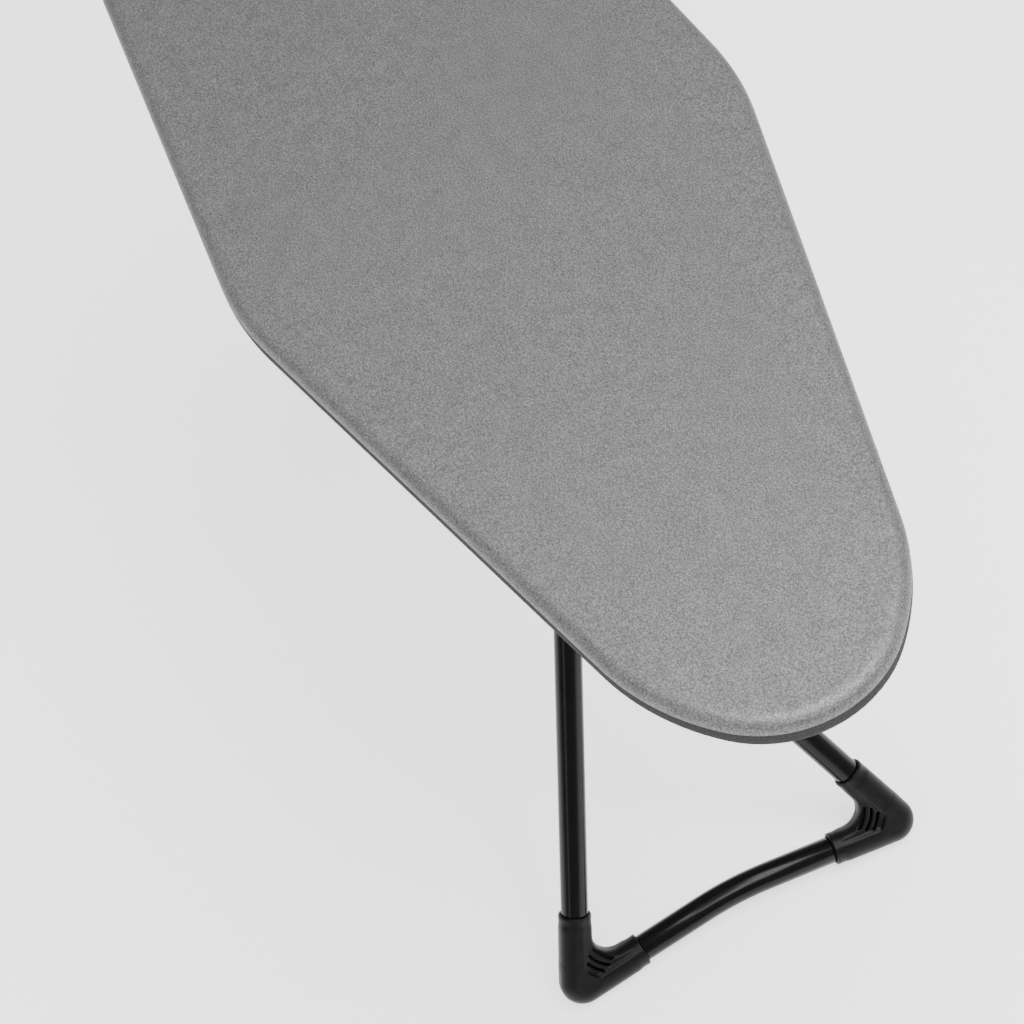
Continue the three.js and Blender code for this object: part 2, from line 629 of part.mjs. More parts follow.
// ---- Hinge at the tail end: two brackets, an axle and its push-on caps ----
function sideways(points, y0, y1) {
  const geometry = prism(points, y1 - y0);
  geometry.rotateX(Math.PI / 2);
  geometry.translate(0, y1, 0);
  return solid(geometry);
}
const bracketHalf = CROSSMEMBER_CROWN / 2 + CROSSMEMBER_FLANGE;
const rivetOut = CROSSMEMBER_CROWN / 2 + CROSSMEMBER_FLANGE / 2;
const between = (side, a, b) => (side > 0 ? [a, b] : [-b, -a]);
for (const [name, side] of sides) {
  const plate = [
    [hingeX - bracketHalf, railTop],
    [hingeX - bracketHalf, railTop - 6],
    [hingeX - 12, pivotZ - 6],
    [hingeX - 7, pivotZ - 12],
    [hingeX + 7, pivotZ - 12],
    [hingeX + 12, pivotZ - 6],
    [hingeX + bracketHalf, railTop - 6],
    [hingeX + bracketHalf, railTop],
  ];
  const [p0, p1] = between(side, HINGE_HALF, HINGE_HALF + SHEET);
  const [f0, f1] = between(side, HINGE_HALF, HINGE_HALF + RAIL_FLANGE);
  const flange = block([hingeX - bracketHalf, f0, railTop - SHEET], [hingeX + bracketHalf, f1, railTop]);
  const hole = rod([hingeX, -199, pivotZ], [hingeX, 199, pivotZ], AXLE_DIAMETER / 2 + GAP, 16);
  const body = sideways(plate, p0, p1).add(flange).subtract(hole);
  const y = side * (HINGE_HALF + SHEET + 9);
  rivet("hinge_rivet_" + name, hingeX + rivetOut, y, railTop - SHEET, hatTop);
  rivetHoles.at(-1).into = "hinge_bracket_" + name;
  rivetHoles.at(-1).body = body;
}
const axleHalf = HINGE_HALF + SHEET + 7;
add(
  "hinge_axle",
  rod([hingeX, -axleHalf, pivotZ], [hingeX, axleHalf, pivotZ], AXLE_DIAMETER / 2, 16),
  ZINC(),
);
for (const [name, side] of sides) {
  const capProfile = [
    [0, 0],
    [AXLE_DIAMETER / 2 + 4, 0],
    [AXLE_DIAMETER / 2 + 4, 1.5],
    [AXLE_DIAMETER / 2 + 2.5, 6],
    [AXLE_DIAMETER / 2, 9.5],
    [0, 9.5],
  ];
  const base = HINGE_HALF + SHEET + GAP;
  const cap = turned(capProfile, [hingeX, side * base, pivotZ], [0, side, 0], 14);
  const [b0, b1] = between(side, base - 3, axleHalf + GAP);
  const bore = rod([hingeX, b0, pivotZ], [hingeX, b1, pivotZ], AXLE_DIAMETER / 2 + GAP, 16);
  add("axle_cap_" + name, cap.subtract(bore), GREY_PLASTIC());
}

// ---- Rails: slotted angles that guide the slide bar's glides ----
const RAIL_END = 5.5; // metal left round the slot
const slotHalf = glideDiameter / 2 + 0.35;
const slotNear = hingeX + 2 * CROSS_FROM_TOP * Math.cos(rad(LEG_ANGLE_MAX + 0.5)) - slotHalf;
const slotFar = hingeX + 2 * CROSS_FROM_TOP + slotHalf;
for (const [name, side] of sides) {
  const x1 = fromTip(RAIL_START_FROM_TIP);
  const x0 = x1 - RAIL_LENGTH;
  const [w0, w1] = between(side, railY, railY + SHEET);
  const [f0, f1] = between(side, railY, railY + RAIL_FLANGE);
  const web = block([slotNear - RAIL_END, w0, pivotZ - slotHalf - RAIL_END], [x1, w1, railTop]);
  const neck = block([x0, w0, pivotZ], [slotNear, w1, railTop]); // stays above the cross bolt when it folds
  const flange = block([x0, f0, railTop - SHEET], [x1, f1, railTop]);
  const slot = block([slotNear, w0 - 1, pivotZ - slotHalf], [slotFar, w1 + 1, pivotZ + slotHalf]);
  const body = web.add(neck).add(flange).subtract(slot);
  RAIL_CROSSMEMBERS.forEach((index, i) => {
    const x = fromTip(CROSSMEMBERS_FROM_TIP[index]) - rivetOut;
    const y = side * (railY + SHEET + 9);
    rivet("rail_rivet_" + name + "_" + (i + 1), x, y, railTop - SHEET, hatTop);
    rivetHoles.at(-1).into = "rail_" + name;
  });
  rivetHoles.filter((r) => r.into === "rail_" + name).forEach((r) => (r.body = body));
}

// ---- Height lever: a bent rod, a brake plate that bears on the slide bar, a grip and a return spring ----
const rodRadius = LEVER_ROD / 2;
const leverZ = hatUnder - 12.3;
const [leverFront, , leverBack] = RAIL_CROSSMEMBERS.map((index) => fromTip(CROSSMEMBERS_FROM_TIP[index]));
const leverStart = leverFront + rivetOut + 12;
const leverX = fromTip(LEVER_FROM_TIP);
const leverPath = new Bent(
  [
    [leverStart, LEVER_AXIS_Y, leverZ],
    [leverX, LEVER_AXIS_Y, leverZ],
    [leverX, LEVER_REACH, leverZ - 8],
  ],
  [LEVER_BEND_RADIUS],
  5,
);
add("lever_rod", tube(leverPath, rodRadius, 0, 12), ZINC());

const barTop = pivotZ + BAR_DIAMETER / 2;
const plateUnder = leverZ - BRAKE_SHEET / 2;
const barFrom = hingeX + 2 * CROSS_FROM_TOP * Math.cos(rad(LEG_ANGLE_MAX));
const barTo = hingeX + 2 * CROSS_FROM_TOP;
const plateStart = barFrom - BAR_DIAMETER;
const plateEnd = barTo + BAR_DIAMETER;
const plateWidth = BRAKE_EDGE_Y - LEVER_AXIS_Y - rodRadius - GAP;
const plateInner = BRAKE_EDGE_Y - plateWidth;
const plateTop = plateUnder + BRAKE_SHEET;
let brakePlate = block([plateStart, plateInner, plateUnder], [plateEnd, BRAKE_EDGE_Y, plateTop]);
const windows = 4;
for (let i = 0; i < windows; i++) {
  const pitch = (plateEnd - plateStart) / windows;
  const x0 = plateStart + i * pitch + pitch * 0.2;
  const y0 = plateInner + 5;
  const window = block([x0, y0, plateUnder - 5], [x0 + pitch * 0.6, y0 + 11, plateUnder + 5]);
  brakePlate = brakePlate.subtract(window);
}
add("brake_plate", brakePlate, ZINC());
const liningHalf = BRAKE_LINING / 2;
const lining = block([plateStart, -liningHalf, barTop + GAP], [plateEnd, liningHalf, plateUnder - GAP]);
add("brake_lining", lining, GREY_PLASTIC());

const gripLength = 62;
const reach = new THREE.Vector3(0, LEVER_REACH - LEVER_AXIS_Y, -8).normalize();
const handEnd = new THREE.Vector3(leverX, LEVER_REACH, leverZ - 8);
const gripFrom = handEnd.clone().addScaledVector(reach, -gripLength);
const gripTo = handEnd.clone().addScaledVector(reach, 3);
const gripShape = new THREE.Shape();
gripShape.absellipse(0, 0, 8, 5.5, 0, 2 * Math.PI);
const gripPath = new Bent([gripFrom.toArray(), gripTo.toArray()], [], 1);
const gripOptions = { extrudePath: gripPath, steps: 1, curveSegments: 8, bevelEnabled: false };
const grip = solid(new THREE.ExtrudeGeometry(gripShape, gripOptions));
const gripBore = rod(
  gripFrom.clone().addScaledVector(reach, -2).toArray(),
  handEnd.clone().addScaledVector(reach, GAP).toArray(),
  rodRadius + GAP,
  12,
);
add("lever_grip", grip.subtract(gripBore), BLACK_PLASTIC());

// Two small brackets under the crossmembers hold the lever's rod.
[leverFront + rivetOut, leverBack - rivetOut].forEach((x, i) => {
  const y0 = LEVER_AXIS_Y - 10;
  const cheek = [
    [LEVER_AXIS_Y - 7, leverZ - 8],
    [LEVER_AXIS_Y + 7, leverZ - 8],
    [LEVER_AXIS_Y + 10, railTop],
    [y0, railTop],
  ];
  const geometry = prism(cheek, SHEET);
  geometry.rotateX(Math.PI / 2);
  geometry.rotateZ(Math.PI / 2);
  geometry.translate(x + 5, 0, 0);
  const top = block([x - 5, y0 - 12, railTop - SHEET], [x + 5 + SHEET, LEVER_AXIS_Y + 10, railTop]);
  const hole = rod([x - 20, LEVER_AXIS_Y, leverZ], [x + 20, LEVER_AXIS_Y, leverZ], rodRadius + GAP, 12);
  const body = solid(geometry).add(top).subtract(hole);
  rivet("lever_rivet_" + (i + 1), x, y0 - 6, railTop - SHEET, hatTop);
  rivetHoles.at(-1).into = "lever_bracket_" + (i + 1);
  rivetHoles.at(-1).body = body;
});

{
  // A torsion spring wound round the rod, next to its rear bracket.
  const turns = 5;
  const coil = rodRadius + 1.6;
  const wire = 0.6;
  const x0 = leverBack + rivetOut - 8;
  const path = new Bent([[0, 0, 0], [1, 0, 0]], [], 1);
  const count = turns * 10;
  path.samples = Array.from({ length: count + 1 }, (_, k) => {
    const a = (2 * Math.PI * k) / 10;
    const pitch = 2.2;
    const y = LEVER_AXIS_Y + coil * Math.cos(a);
    const p = new THREE.Vector3(x0 - (pitch * k) / 10, y, leverZ + coil * Math.sin(a));
    const t = new THREE.Vector3(-pitch / (2 * Math.PI), -coil * Math.sin(a), coil * Math.cos(a)).normalize();
    return { p, t };
  });
  add("return_spring", tube(path, wire, 0, 6), ZINC());
}

// ---- Rivets, and the holes they pass through ----
const pieces = new Map();
for (const member of crossmembers) pieces.set(member.name, member.body);
for (const r of rivetHoles) if (r.into) pieces.set(r.into, r.body);
for (const r of rivetHoles) {
  const hole = rod([r.x, r.y, r.z0 - 5], [r.x, r.y, r.z1 + 5], RIVET_DIAMETER / 2 + GAP, 8);
  for (const [name, body] of pieces) pieces.set(name, body.subtract(hole));
  const shank = RIVET_DIAMETER / 2;
  const profile = [
    [0, r.z0 - GAP - 1.6],
    [2.4, r.z0 - GAP - 1.3],
    [3.6, r.z0 - GAP],
    [shank, r.z0 - GAP],
    [shank, r.z1 + GAP],
    [3.2, r.z1 + GAP],
    [2.4, r.z1 + GAP + 1.1],
    [0, r.z1 + GAP + 1.2],
  ];
  add(r.name, turned(profile, [r.x, r.y, 0], [0, 0, 1], 8), ZINC());
}
for (const [name, body] of pieces) {
  const bare = name.startsWith("crossmember");
  add(name, body, bare ? BLACK_PAINT() : ZINC());
}

export default part;
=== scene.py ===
import math
import bmesh
import bpy
import numpy as np
from mathutils import Matrix, Vector, noise


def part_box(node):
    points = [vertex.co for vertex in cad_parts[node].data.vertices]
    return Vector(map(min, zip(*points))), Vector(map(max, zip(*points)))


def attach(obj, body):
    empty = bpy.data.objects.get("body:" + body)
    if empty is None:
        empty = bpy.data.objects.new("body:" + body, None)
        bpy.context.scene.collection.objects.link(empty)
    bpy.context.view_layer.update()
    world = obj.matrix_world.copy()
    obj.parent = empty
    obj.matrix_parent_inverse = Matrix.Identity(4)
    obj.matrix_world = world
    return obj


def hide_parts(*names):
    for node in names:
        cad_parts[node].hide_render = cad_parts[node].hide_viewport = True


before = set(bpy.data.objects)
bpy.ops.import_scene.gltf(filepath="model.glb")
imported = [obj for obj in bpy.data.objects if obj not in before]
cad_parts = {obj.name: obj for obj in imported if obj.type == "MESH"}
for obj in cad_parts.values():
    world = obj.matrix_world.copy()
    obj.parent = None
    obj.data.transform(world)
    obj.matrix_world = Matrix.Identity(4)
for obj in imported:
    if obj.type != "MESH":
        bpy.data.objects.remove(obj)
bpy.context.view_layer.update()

scene = bpy.context.scene

# ---- Camera, floor and light ----
# The board stands on a plain pale studio floor, seen steeply from above and in front of its nose,
# with one broad soft light overhead and two long strips that draw the shine on the black tubes.
TILT = math.radians(52.701)
HEADING = math.radians(171.150)
ROLL = math.radians(-19.545)
CAMERA_AT = (1.2362, -0.2300, 2.0064)

ahead = Vector((math.cos(TILT) * math.cos(HEADING), math.cos(TILT) * math.sin(HEADING), -math.sin(TILT)))
level = Vector((math.sin(HEADING), -math.cos(HEADING), 0))
upright = level.cross(ahead)
across = math.cos(ROLL) * level + math.sin(ROLL) * upright
above = math.cos(ROLL) * upright - math.sin(ROLL) * level
lens = bpy.data.cameras.new("camera")
lens.lens = 83.89
lens.sensor_width = 36
lens.clip_end = 50
camera = bpy.data.objects.new("camera", lens)
axes = Matrix((across, above, -ahead)).transposed().to_4x4()
camera.matrix_world = Matrix.Translation(CAMERA_AT) @ axes
scene.collection.objects.link(camera)
scene.camera = camera


def mesh_object(name, points, faces):
    mesh = bpy.data.meshes.new(name)
    mesh.from_pydata([tuple(p) for p in points], [], [tuple(int(i) for i in f) for f in faces])
    mesh.validate()
    mesh.polygons.foreach_set("use_smooth", [True] * len(mesh.polygons))
    thing = bpy.data.objects.new(name, mesh)
    scene.collection.objects.link(thing)
    return thing


def material_with(name, even):
    """A new material, its node tree and its shader, with the values that are the same all over it."""
    material = bpy.data.materials.new(name)
    material.use_nodes = True
    shader = material.node_tree.nodes["Principled BSDF"]
    for label, value in even.items():
        shader.inputs[label].default_value = value
    return material, material.node_tree, shader


FLOOR = 40
floor_corners = [(-FLOOR, -FLOOR, 0), (FLOOR, -FLOOR, 0), (FLOOR, FLOOR, 0), (-FLOOR, FLOOR, 0)]
floor = mesh_object("floor", floor_corners, [(0, 1, 2, 3)])
FLOOR_PAINT = {
    "Base Color": (0.95, 0.95, 0.95, 1), "Roughness": 0.8,
    "Emission Color": (1, 1, 1, 1), "Emission Strength": 1.5,
}
floor.data.materials.append(material_with("floor_paint", FLOOR_PAINT)[0])

world = bpy.data.worlds.new("studio")
world.use_nodes = True
world.node_tree.nodes["Background"].inputs["Color"].default_value = (1, 1, 1, 1)
world.node_tree.nodes["Background"].inputs["Strength"].default_value = 0.42
scene.world = world


def soft_light(name, place, target, size, power):
    lamp = bpy.data.lights.new(name, "AREA")
    lamp.shape = "RECTANGLE"
    lamp.size, lamp.size_y = size
    lamp.energy = power
    box = bpy.data.objects.new(name, lamp)
    box.location = place
    box.rotation_euler = (Vector(target) - Vector(place)).to_track_quat("-Z", "Y").to_euler()
    scene.collection.objects.link(box)


soft_light("overhead", (0.9, 0.5, 3.6), (0.3, 0, 0.4), (2.6, 2.6), 210)
soft_light("strip_left", (1.6, -2.6, 1.8), (0.2, 0, 0.4), (0.4, 2.6), 10)
soft_light("strip_right", (1.4, 2.8, 2.0), (0.2, 0, 0.4), (0.4, 2.6), 14)

# ---- The board's outline ----
# Deck, rim, pad and cover all follow one plan: a round nose, straight sides that widen to soft
# shoulders, a slight taper back and a squared tail. Every layer is a parallel curve of it.
BOARD_LENGTH = 1.200
BOARD_WIDTH = 0.380
SHOULDER_FROM_TIP = 0.468
FRONT_TAPER = math.radians(13.9)
REAR_TAPER = math.radians(3.9)
NOSE_RADIUS = 0.080
NOSE_SWEEP = math.radians(45)
SHOULDER_RADIUS = 0.236
TAIL_RADIUS = 0.048
OUTLINE_PITCH = 0.007

tip_x = BOARD_LENGTH / 2


def facing(angle):
    return np.array((math.cos(angle), math.sin(angle)))


def plan_arcs():
    front = math.pi / 2 - FRONT_TAPER
    rear = math.pi / 2 + REAR_TAPER
    corner = np.array((tip_x - SHOULDER_FROM_TIP, BOARD_WIDTH / 2))

    def blend(point, n1, n2, radius):
        return point - (n1 + n2) * radius / (1 + n1 @ n2)

    shoulder = blend(corner, facing(front), facing(rear), SHOULDER_RADIUS)
    tail = np.array((-tip_x, corner[1] - (corner[0] + tip_x) * math.tan(REAR_TAPER)))
    tail_centre = blend(tail, facing(rear), facing(math.pi), TAIL_RADIUS)
    nose = np.array((tip_x - NOSE_RADIUS, 0.0))
    n = facing(front)
    more = (n @ corner - n @ nose - NOSE_RADIUS) / (1 - n @ facing(NOSE_SWEEP))
    flank = nose - more * facing(NOSE_SWEEP)
    upper = [
        (flank, NOSE_RADIUS + more, NOSE_SWEEP, front),
        (shoulder, SHOULDER_RADIUS, front, rear),
        (tail_centre, TAIL_RADIUS, rear, math.pi),
    ]
    lower = [(c * (1, -1), r, -b, -a) for c, r, a, b in reversed(upper)]
    return [(nose, NOSE_RADIUS, 0, NOSE_SWEEP), *upper, *lower, (nose, NOSE_RADIUS, -NOSE_SWEEP, 0)]


def plan_curve():
    """Points and outward directions round the plan, evenly apart."""
    points, normals = [], []
    for centre, radius, a, b in plan_arcs():
        steps = max(2, round(abs(b - a) * radius / 0.002))
        for k in range(steps + 1):
            angle = a + (b - a) * k / steps
            points.append(centre + radius * facing(angle))
            normals.append(facing(angle))
    points, normals = np.array(points), np.array(normals)
    closed = np.vstack([points, points[:1]])
    turned = np.vstack([normals, normals[:1]])
    run = np.concatenate([[0], np.cumsum(np.linalg.norm(np.diff(closed, axis=0), axis=1))])
    count = 2 * round(run[-1] / OUTLINE_PITCH / 2)
    at = np.linspace(0, run[-1], count, endpoint=False)
    p = np.stack([np.interp(at, run, closed[:, i]) for i in (0, 1)], axis=1)
    n = np.stack([np.interp(at, run, turned[:, i]) for i in (0, 1)], axis=1)
    return p, n / np.linalg.norm(n, axis=1, keepdims=True)


plan, plan_out = plan_curve()


def rings_mesh(name, rings):
    """A skin through rings of equally many points. The first ring closes onto the board's middle."""
    count = len(plan)
    points = [tuple(p) for ring in rings for p in ring]
    faces = []
    for r in range(len(rings) - 1):
        for k in range(count):
            m = (k + 1) % count
            faces.append((r * count + k, (r + 1) * count + k, (r + 1) * count + m, r * count + m))
    thing = mesh_object(name, points, faces)
    shell = bmesh.new()
    shell.from_mesh(thing.data)
    bmesh.ops.remove_doubles(shell, verts=shell.verts, dist=2e-5)
    bmesh.ops.dissolve_degenerate(shell, edges=shell.edges, dist=1e-6)
    bmesh.ops.recalc_face_normals(shell, faces=shell.faces)
    top = max(shell.faces, key=lambda f: f.calc_center_median().z)
    if top.normal.z < 0:
        bmesh.ops.reverse_faces(shell, faces=shell.faces)
    for f in shell.faces:
        f.smooth = True
    shell.to_mesh(thing.data)
    shell.free()
    return thing


def inward(inset):
    return plan - plan_out * inset


def towards_middle(inset, share):
    """The parallel curve drawn in towards the board's centre line."""
    ring = inward(inset)
    middle = np.stack([np.clip(ring[:, 0], -tip_x + 0.15, tip_x - 0.09), np.zeros(len(ring))], axis=1)
    return ring + (middle - ring) * share


def at_height(ring, height):
    return np.column_stack([ring, np.full(len(ring), height)])


# ---- Cover ----
# A silver-coated woven cover, sewn to the board's shape, pulled down over the rolled rim and drawn
# in underneath by an elastic in its hem. The coating is matt and finely speckled by the weave.
COVER_TOP = 0.870
COVER_UNDER = 0.8440
COVER_CLOTH = 0.0009
EDGE_RADIUS = 0.0092
HEM_INSET = 0.026
HEM_TUBE = 0.0015
# Height below which the cover gets the dark painted-shade colour.
PAINTED_SHADE_TOP = 0.8608
FLAT_INSET = 0.020
FACE_SINK = 0.0002
UNDER_LIFT = 0.0004
HEM_LIFT = 0.0005
HEM_RISE = 0.0009
HEM_ABOVE = 0.0019

edge_low = COVER_UNDER + EDGE_RADIUS
edge_high = COVER_TOP - EDGE_RADIUS
cover_rings = []
for share in (1.0, 0.93, 0.85, 0.76, 0.67, 0.58, 0.49, 0.40, 0.32, 0.24, 0.17, 0.11, 0.06, 0.02):
    cover_rings.append(at_height(towards_middle(FLAT_INSET, share), COVER_TOP - FACE_SINK))
for inset in (FLAT_INSET, 0.015, 0.012, EDGE_RADIUS):
    cover_rings.append(at_height(inward(inset), COVER_TOP - FACE_SINK))
for k in range(1, 8):
    a = math.pi / 2 * k / 7
    ring = inward(EDGE_RADIUS * (1 - math.sin(a)))
    cover_rings.append(at_height(ring, edge_high + EDGE_RADIUS * math.cos(a) - FACE_SINK))
cover_rings.append(at_height(inward(0), (edge_low + edge_high) / 2))
for k in range(0, 7):
    a = math.pi / 2 * k / 6
    ring = inward(EDGE_RADIUS * (1 - math.cos(a)))
    cover_rings.append(at_height(ring, edge_low - EDGE_RADIUS * math.sin(a) + UNDER_LIFT))
for share in (0.25, 0.5, 0.75, 1.0):
    inset = EDGE_RADIUS + (HEM_INSET - EDGE_RADIUS) * share
    cover_rings.append(at_height(inward(inset), COVER_UNDER + HEM_LIFT + HEM_RISE * share))

cover = rings_mesh("fabric_cover", cover_rings)


def from_edge(points):
    """How far each point lies from the plan's line, up to one metre."""
    gap = np.full(len(points), 1.0)
    for start in range(0, len(points), 4000):
        part = points[start:start + 4000, None, :2] - plan[None, :, :]
        gap[start:start + 4000] = np.sqrt((part ** 2).sum(axis=2)).min(axis=1)
    return gap


def settle_cloth(piece, held, free, pressure, frames, cap):
    """Lets the sewn cloth puff up a little, then keeps its move within a small cap."""
    before = np.array([v.co[:] for v in piece.data.vertices])
    group = piece.vertex_groups.new(name="held")
    for i, weight in enumerate(held):
        group.add([i], float(weight), "REPLACE")
    cloth = piece.modifiers.new("cloth", "CLOTH")
    cloth.settings.quality = 5
    cloth.settings.mass = 0.25
    cloth.settings.use_pressure = True
    cloth.settings.uniform_pressure_force = pressure
    cloth.settings.tension_stiffness = 20
    cloth.settings.compression_stiffness = 20
    cloth.settings.bending_stiffness = 0.6
    cloth.settings.vertex_group_mass = "held"
    cloth.settings.effector_weights.gravity = 0
    cloth.point_cache.frame_start = 1
    cloth.point_cache.frame_end = frames
    for k in range(1, frames + 1):
        scene.frame_set(k)
    shaped = piece.evaluated_get(bpy.context.evaluated_depsgraph_get()).to_mesh()
    after = np.array([v.co[:] for v in shaped.vertices])
    piece.evaluated_get(bpy.context.evaluated_depsgraph_get()).to_mesh_clear()
    piece.modifiers.remove(cloth)
    piece.vertex_groups.clear()
    scene.frame_set(1)
    move = after - before
    length = np.linalg.norm(move, axis=1, keepdims=True)
    move *= np.minimum(1, cap / np.maximum(length, 1e-9)) * free[:, None]
    piece.data.vertices.foreach_set("co", (before + move).ravel())
    piece.data.update()


at = np.array([v.co[:] for v in cover.data.vertices])
inside = from_edge(at)
held = np.clip(1 - (inside - 0.014) / 0.02, 0, 1)
held[at[:, 2] < edge_high + 0.004] = 1
depth = np.clip((inside - 0.012) / 0.085, 0, 1)
free = depth * depth * (3 - 2 * depth) * (at[:, 2] > edge_high)
settle_cloth(cover, held, free, pressure=1.5, frames=12, cap=0.0005)

# The cloth isn't dead flat: slow waves over the felt, and small gathers that grow towards the hem.
at = np.array([v.co[:] for v in cover.data.vertices])
for i, v in enumerate(cover.data.vertices):
    x, y, z = at[i]
    if z > COVER_TOP - 0.003:
        slow = noise.noise(Vector((x * 5, y * 7, 3.1)))
        v.co.z = min(z, COVER_TOP) + 0.00028 * slow - FACE_SINK
    if z < edge_low - 0.002:
        under = min(1.0, max(0.0, (inside[i] - 0.002) / 0.02))
        ripple = noise.noise(Vector((x * 95, y * 95, 7.7)))
        v.co.z = z + 0.00075 * under * abs(ripple)
cover.data.update()


def place_noise(tree, scale, detail=2.0, roughness=0.5, stretch=(1, 1, 1)):
    """A noise pattern on the piece's own coordinates, scale in features per metre."""
    coordinates = tree.nodes.new("ShaderNodeTexCoord")
    mapping = tree.nodes.new("ShaderNodeMapping")
    mapping.inputs["Scale"].default_value = stretch
    pattern = tree.nodes.new("ShaderNodeTexNoise")
    pattern.inputs["Scale"].default_value = scale
    pattern.inputs["Detail"].default_value = detail
    pattern.inputs["Roughness"].default_value = roughness
    tree.links.new(coordinates.outputs["Object"], mapping.inputs["Vector"])
    tree.links.new(mapping.outputs["Vector"], pattern.inputs["Vector"])
    return pattern.outputs["Fac"]


def ramp(tree, source, stops):
    node = tree.nodes.new("ShaderNodeValToRGB")
    while len(node.color_ramp.elements) < len(stops):
        node.color_ramp.elements.new(0.5)
    for element, (position, colour) in zip(node.color_ramp.elements, stops):
        element.position = position
        element.color = (*colour, 1)
    tree.links.new(source, node.inputs["Fac"])
    return node.outputs["Color"]


def mixed(tree, kind, factor, a, b):
    node = tree.nodes.new("ShaderNodeMix")
    node.data_type = "RGBA"
    node.blend_type = kind
    node.inputs["Factor"].default_value = factor
    tree.links.new(a, node.inputs["A"])
    tree.links.new(b, node.inputs["B"])
    return node.outputs["Result"]


def bump(tree, shader, height, strength, distance):
    node = tree.nodes.new("ShaderNodeBump")
    node.inputs["Strength"].default_value = strength
    node.inputs["Distance"].default_value = distance
    tree.links.new(height, node.inputs["Height"])
    tree.links.new(node.outputs["Normal"], shader.inputs["Normal"])


def scaled(tree, source, low, high):
    node = tree.nodes.new("ShaderNodeMapRange")
    node.inputs["To Min"].default_value = low
    node.inputs["To Max"].default_value = high
    tree.links.new(source, node.inputs["Value"])
    return node.outputs["Result"]


def shaded(tree, shader, pattern, dark, light, low=0.3, high=0.7):
    """Base colour from a dark to a light shade, following a pattern."""
    colour = ramp(tree, pattern, [(low, dark), (high, light)])
    tree.links.new(colour, shader.inputs["Base Color"])


def roughened(tree, shader, pattern, low, high):
    tree.links.new(scaled(tree, pattern, low, high), shader.inputs["Roughness"])


silver_cloth, tree, shader = material_with("silver_cloth", {"Metallic": 0.55, "Specular IOR Level": 0.25})
COATING = [(0.34, (0.078, 0.078, 0.081)), (0.50, (0.150, 0.151, 0.155)), (0.68, (0.29, 0.292, 0.298))]
speckle = ramp(tree, place_noise(tree, 900, 3, 0.75), COATING)
blotch = ramp(tree, place_noise(tree, 75, 3, 0.6), [(0.35, (0.90, 0.90, 0.90)), (0.65, (1.0, 1.0, 1.0))])
tree.links.new(mixed(tree, "MULTIPLY", 1.0, speckle, blotch), shader.inputs["Base Color"])
roughened(tree, shader, place_noise(tree, 420, 2, 0.6), 0.42, 0.62)
bump(tree, shader, place_noise(tree, 900, 2, 0.6), 0.35, 0.0003)
cover.data.materials.append(silver_cloth)

# Painted shade: below a set height, the cover's side and underside get a much darker colour in place of the
# shade where the cloth curves under; the fine speckle in it is the weave's grain.
side_band, tree, shader = material_with("side_band", {"Roughness": 0.9, "Specular IOR Level": 0.1})
weave = place_noise(tree, 1300, 3, 0.7)
shaded(tree, shader, weave, (0.022, 0.022, 0.0225), (0.060, 0.060, 0.062), 0.35, 0.65)
bump(tree, shader, place_noise(tree, 1500, 2), 0.3, 0.0003)
cover.data.materials.append(side_band)
# Faces below the set height get the painted shade.
in_painted_shade = [int(p.center.z < PAINTED_SHADE_TOP) for p in cover.data.polygons]
cover.data.polygons.foreach_set("material_index", in_painted_shade)
wall = cover.modifiers.new("cloth_thickness", "SOLIDIFY")
wall.thickness = COVER_CLOTH
wall.offset = -1
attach(cover, "board")
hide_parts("cover")


# The hem: the cloth's edge turned in round the elastic and stitched down.
def settle_normals(thing, merge=0.0):
    shell = bmesh.new()
    shell.from_mesh(thing.data)
    if merge:
        bmesh.ops.remove_doubles(shell, verts=shell.verts, dist=merge)
    bmesh.ops.recalc_face_normals(shell, faces=shell.faces)
    shell.to_mesh(thing.data)
    shell.free()


def swept(name, path, radius, sides=12, closed=False):
    """A round solid along a path of points, closed on itself or flat at both ends."""
    path = np.asarray(path, float)
    count = len(path)
    if closed:
        tangent = np.roll(path, -1, axis=0) - np.roll(path, 1, axis=0)
    else:
        tangent = np.gradient(path, axis=0)
    tangent /= np.linalg.norm(tangent, axis=1, keepdims=True)
    normal = np.cross(tangent[0], (0, 0, 1) if abs(tangent[0][2]) < 0.9 else (1, 0, 0))
    points, faces = [], []
    for k in range(count):
        normal = normal - tangent[k] * (normal @ tangent[k])
        normal /= np.linalg.norm(normal)
        side = np.cross(tangent[k], normal)
        for s in range(sides):
            a = 2 * math.pi * s / sides
            points.append(path[k] + radius * (math.cos(a) * normal + math.sin(a) * side))
    for k in range(count if closed else count - 1):
        m = (k + 1) % count
        for s in range(sides):
            t = (s + 1) % sides
            faces.append((k * sides + s, k * sides + t, m * sides + t, m * sides + s))
    if not closed:
        faces.append(tuple(range(sides))[::-1])
        faces.append(tuple(range((count - 1) * sides, count * sides)))
    thing = mesh_object(name, points, faces)
    settle_normals(thing)
    return thing


hem_path = at_height(inward(HEM_INSET), COVER_UNDER + HEM_ABOVE)
hem = swept("cover_hem", hem_path, HEM_TUBE, sides=10, closed=True)
# The hem gets the same dark painted-shade colour.
hem.data.materials.append(side_band)
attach(hem, "board")


def nodes_group(name, inputs):
    group = bpy.data.node_groups.new(name, "GeometryNodeTree")
    group.interface.new_socket("Geometry", in_out="INPUT", socket_type="NodeSocketGeometry")
    group.interface.new_socket("Geometry", in_out="OUTPUT", socket_type="NodeSocketGeometry")
    for label, kind, value in inputs:
        socket = group.interface.new_socket(label, in_out="INPUT", socket_type=kind)
        if value is not None:
            socket.default_value = value
    return group, group.nodes.new("NodeGroupInput"), group.nodes.new("NodeGroupOutput")


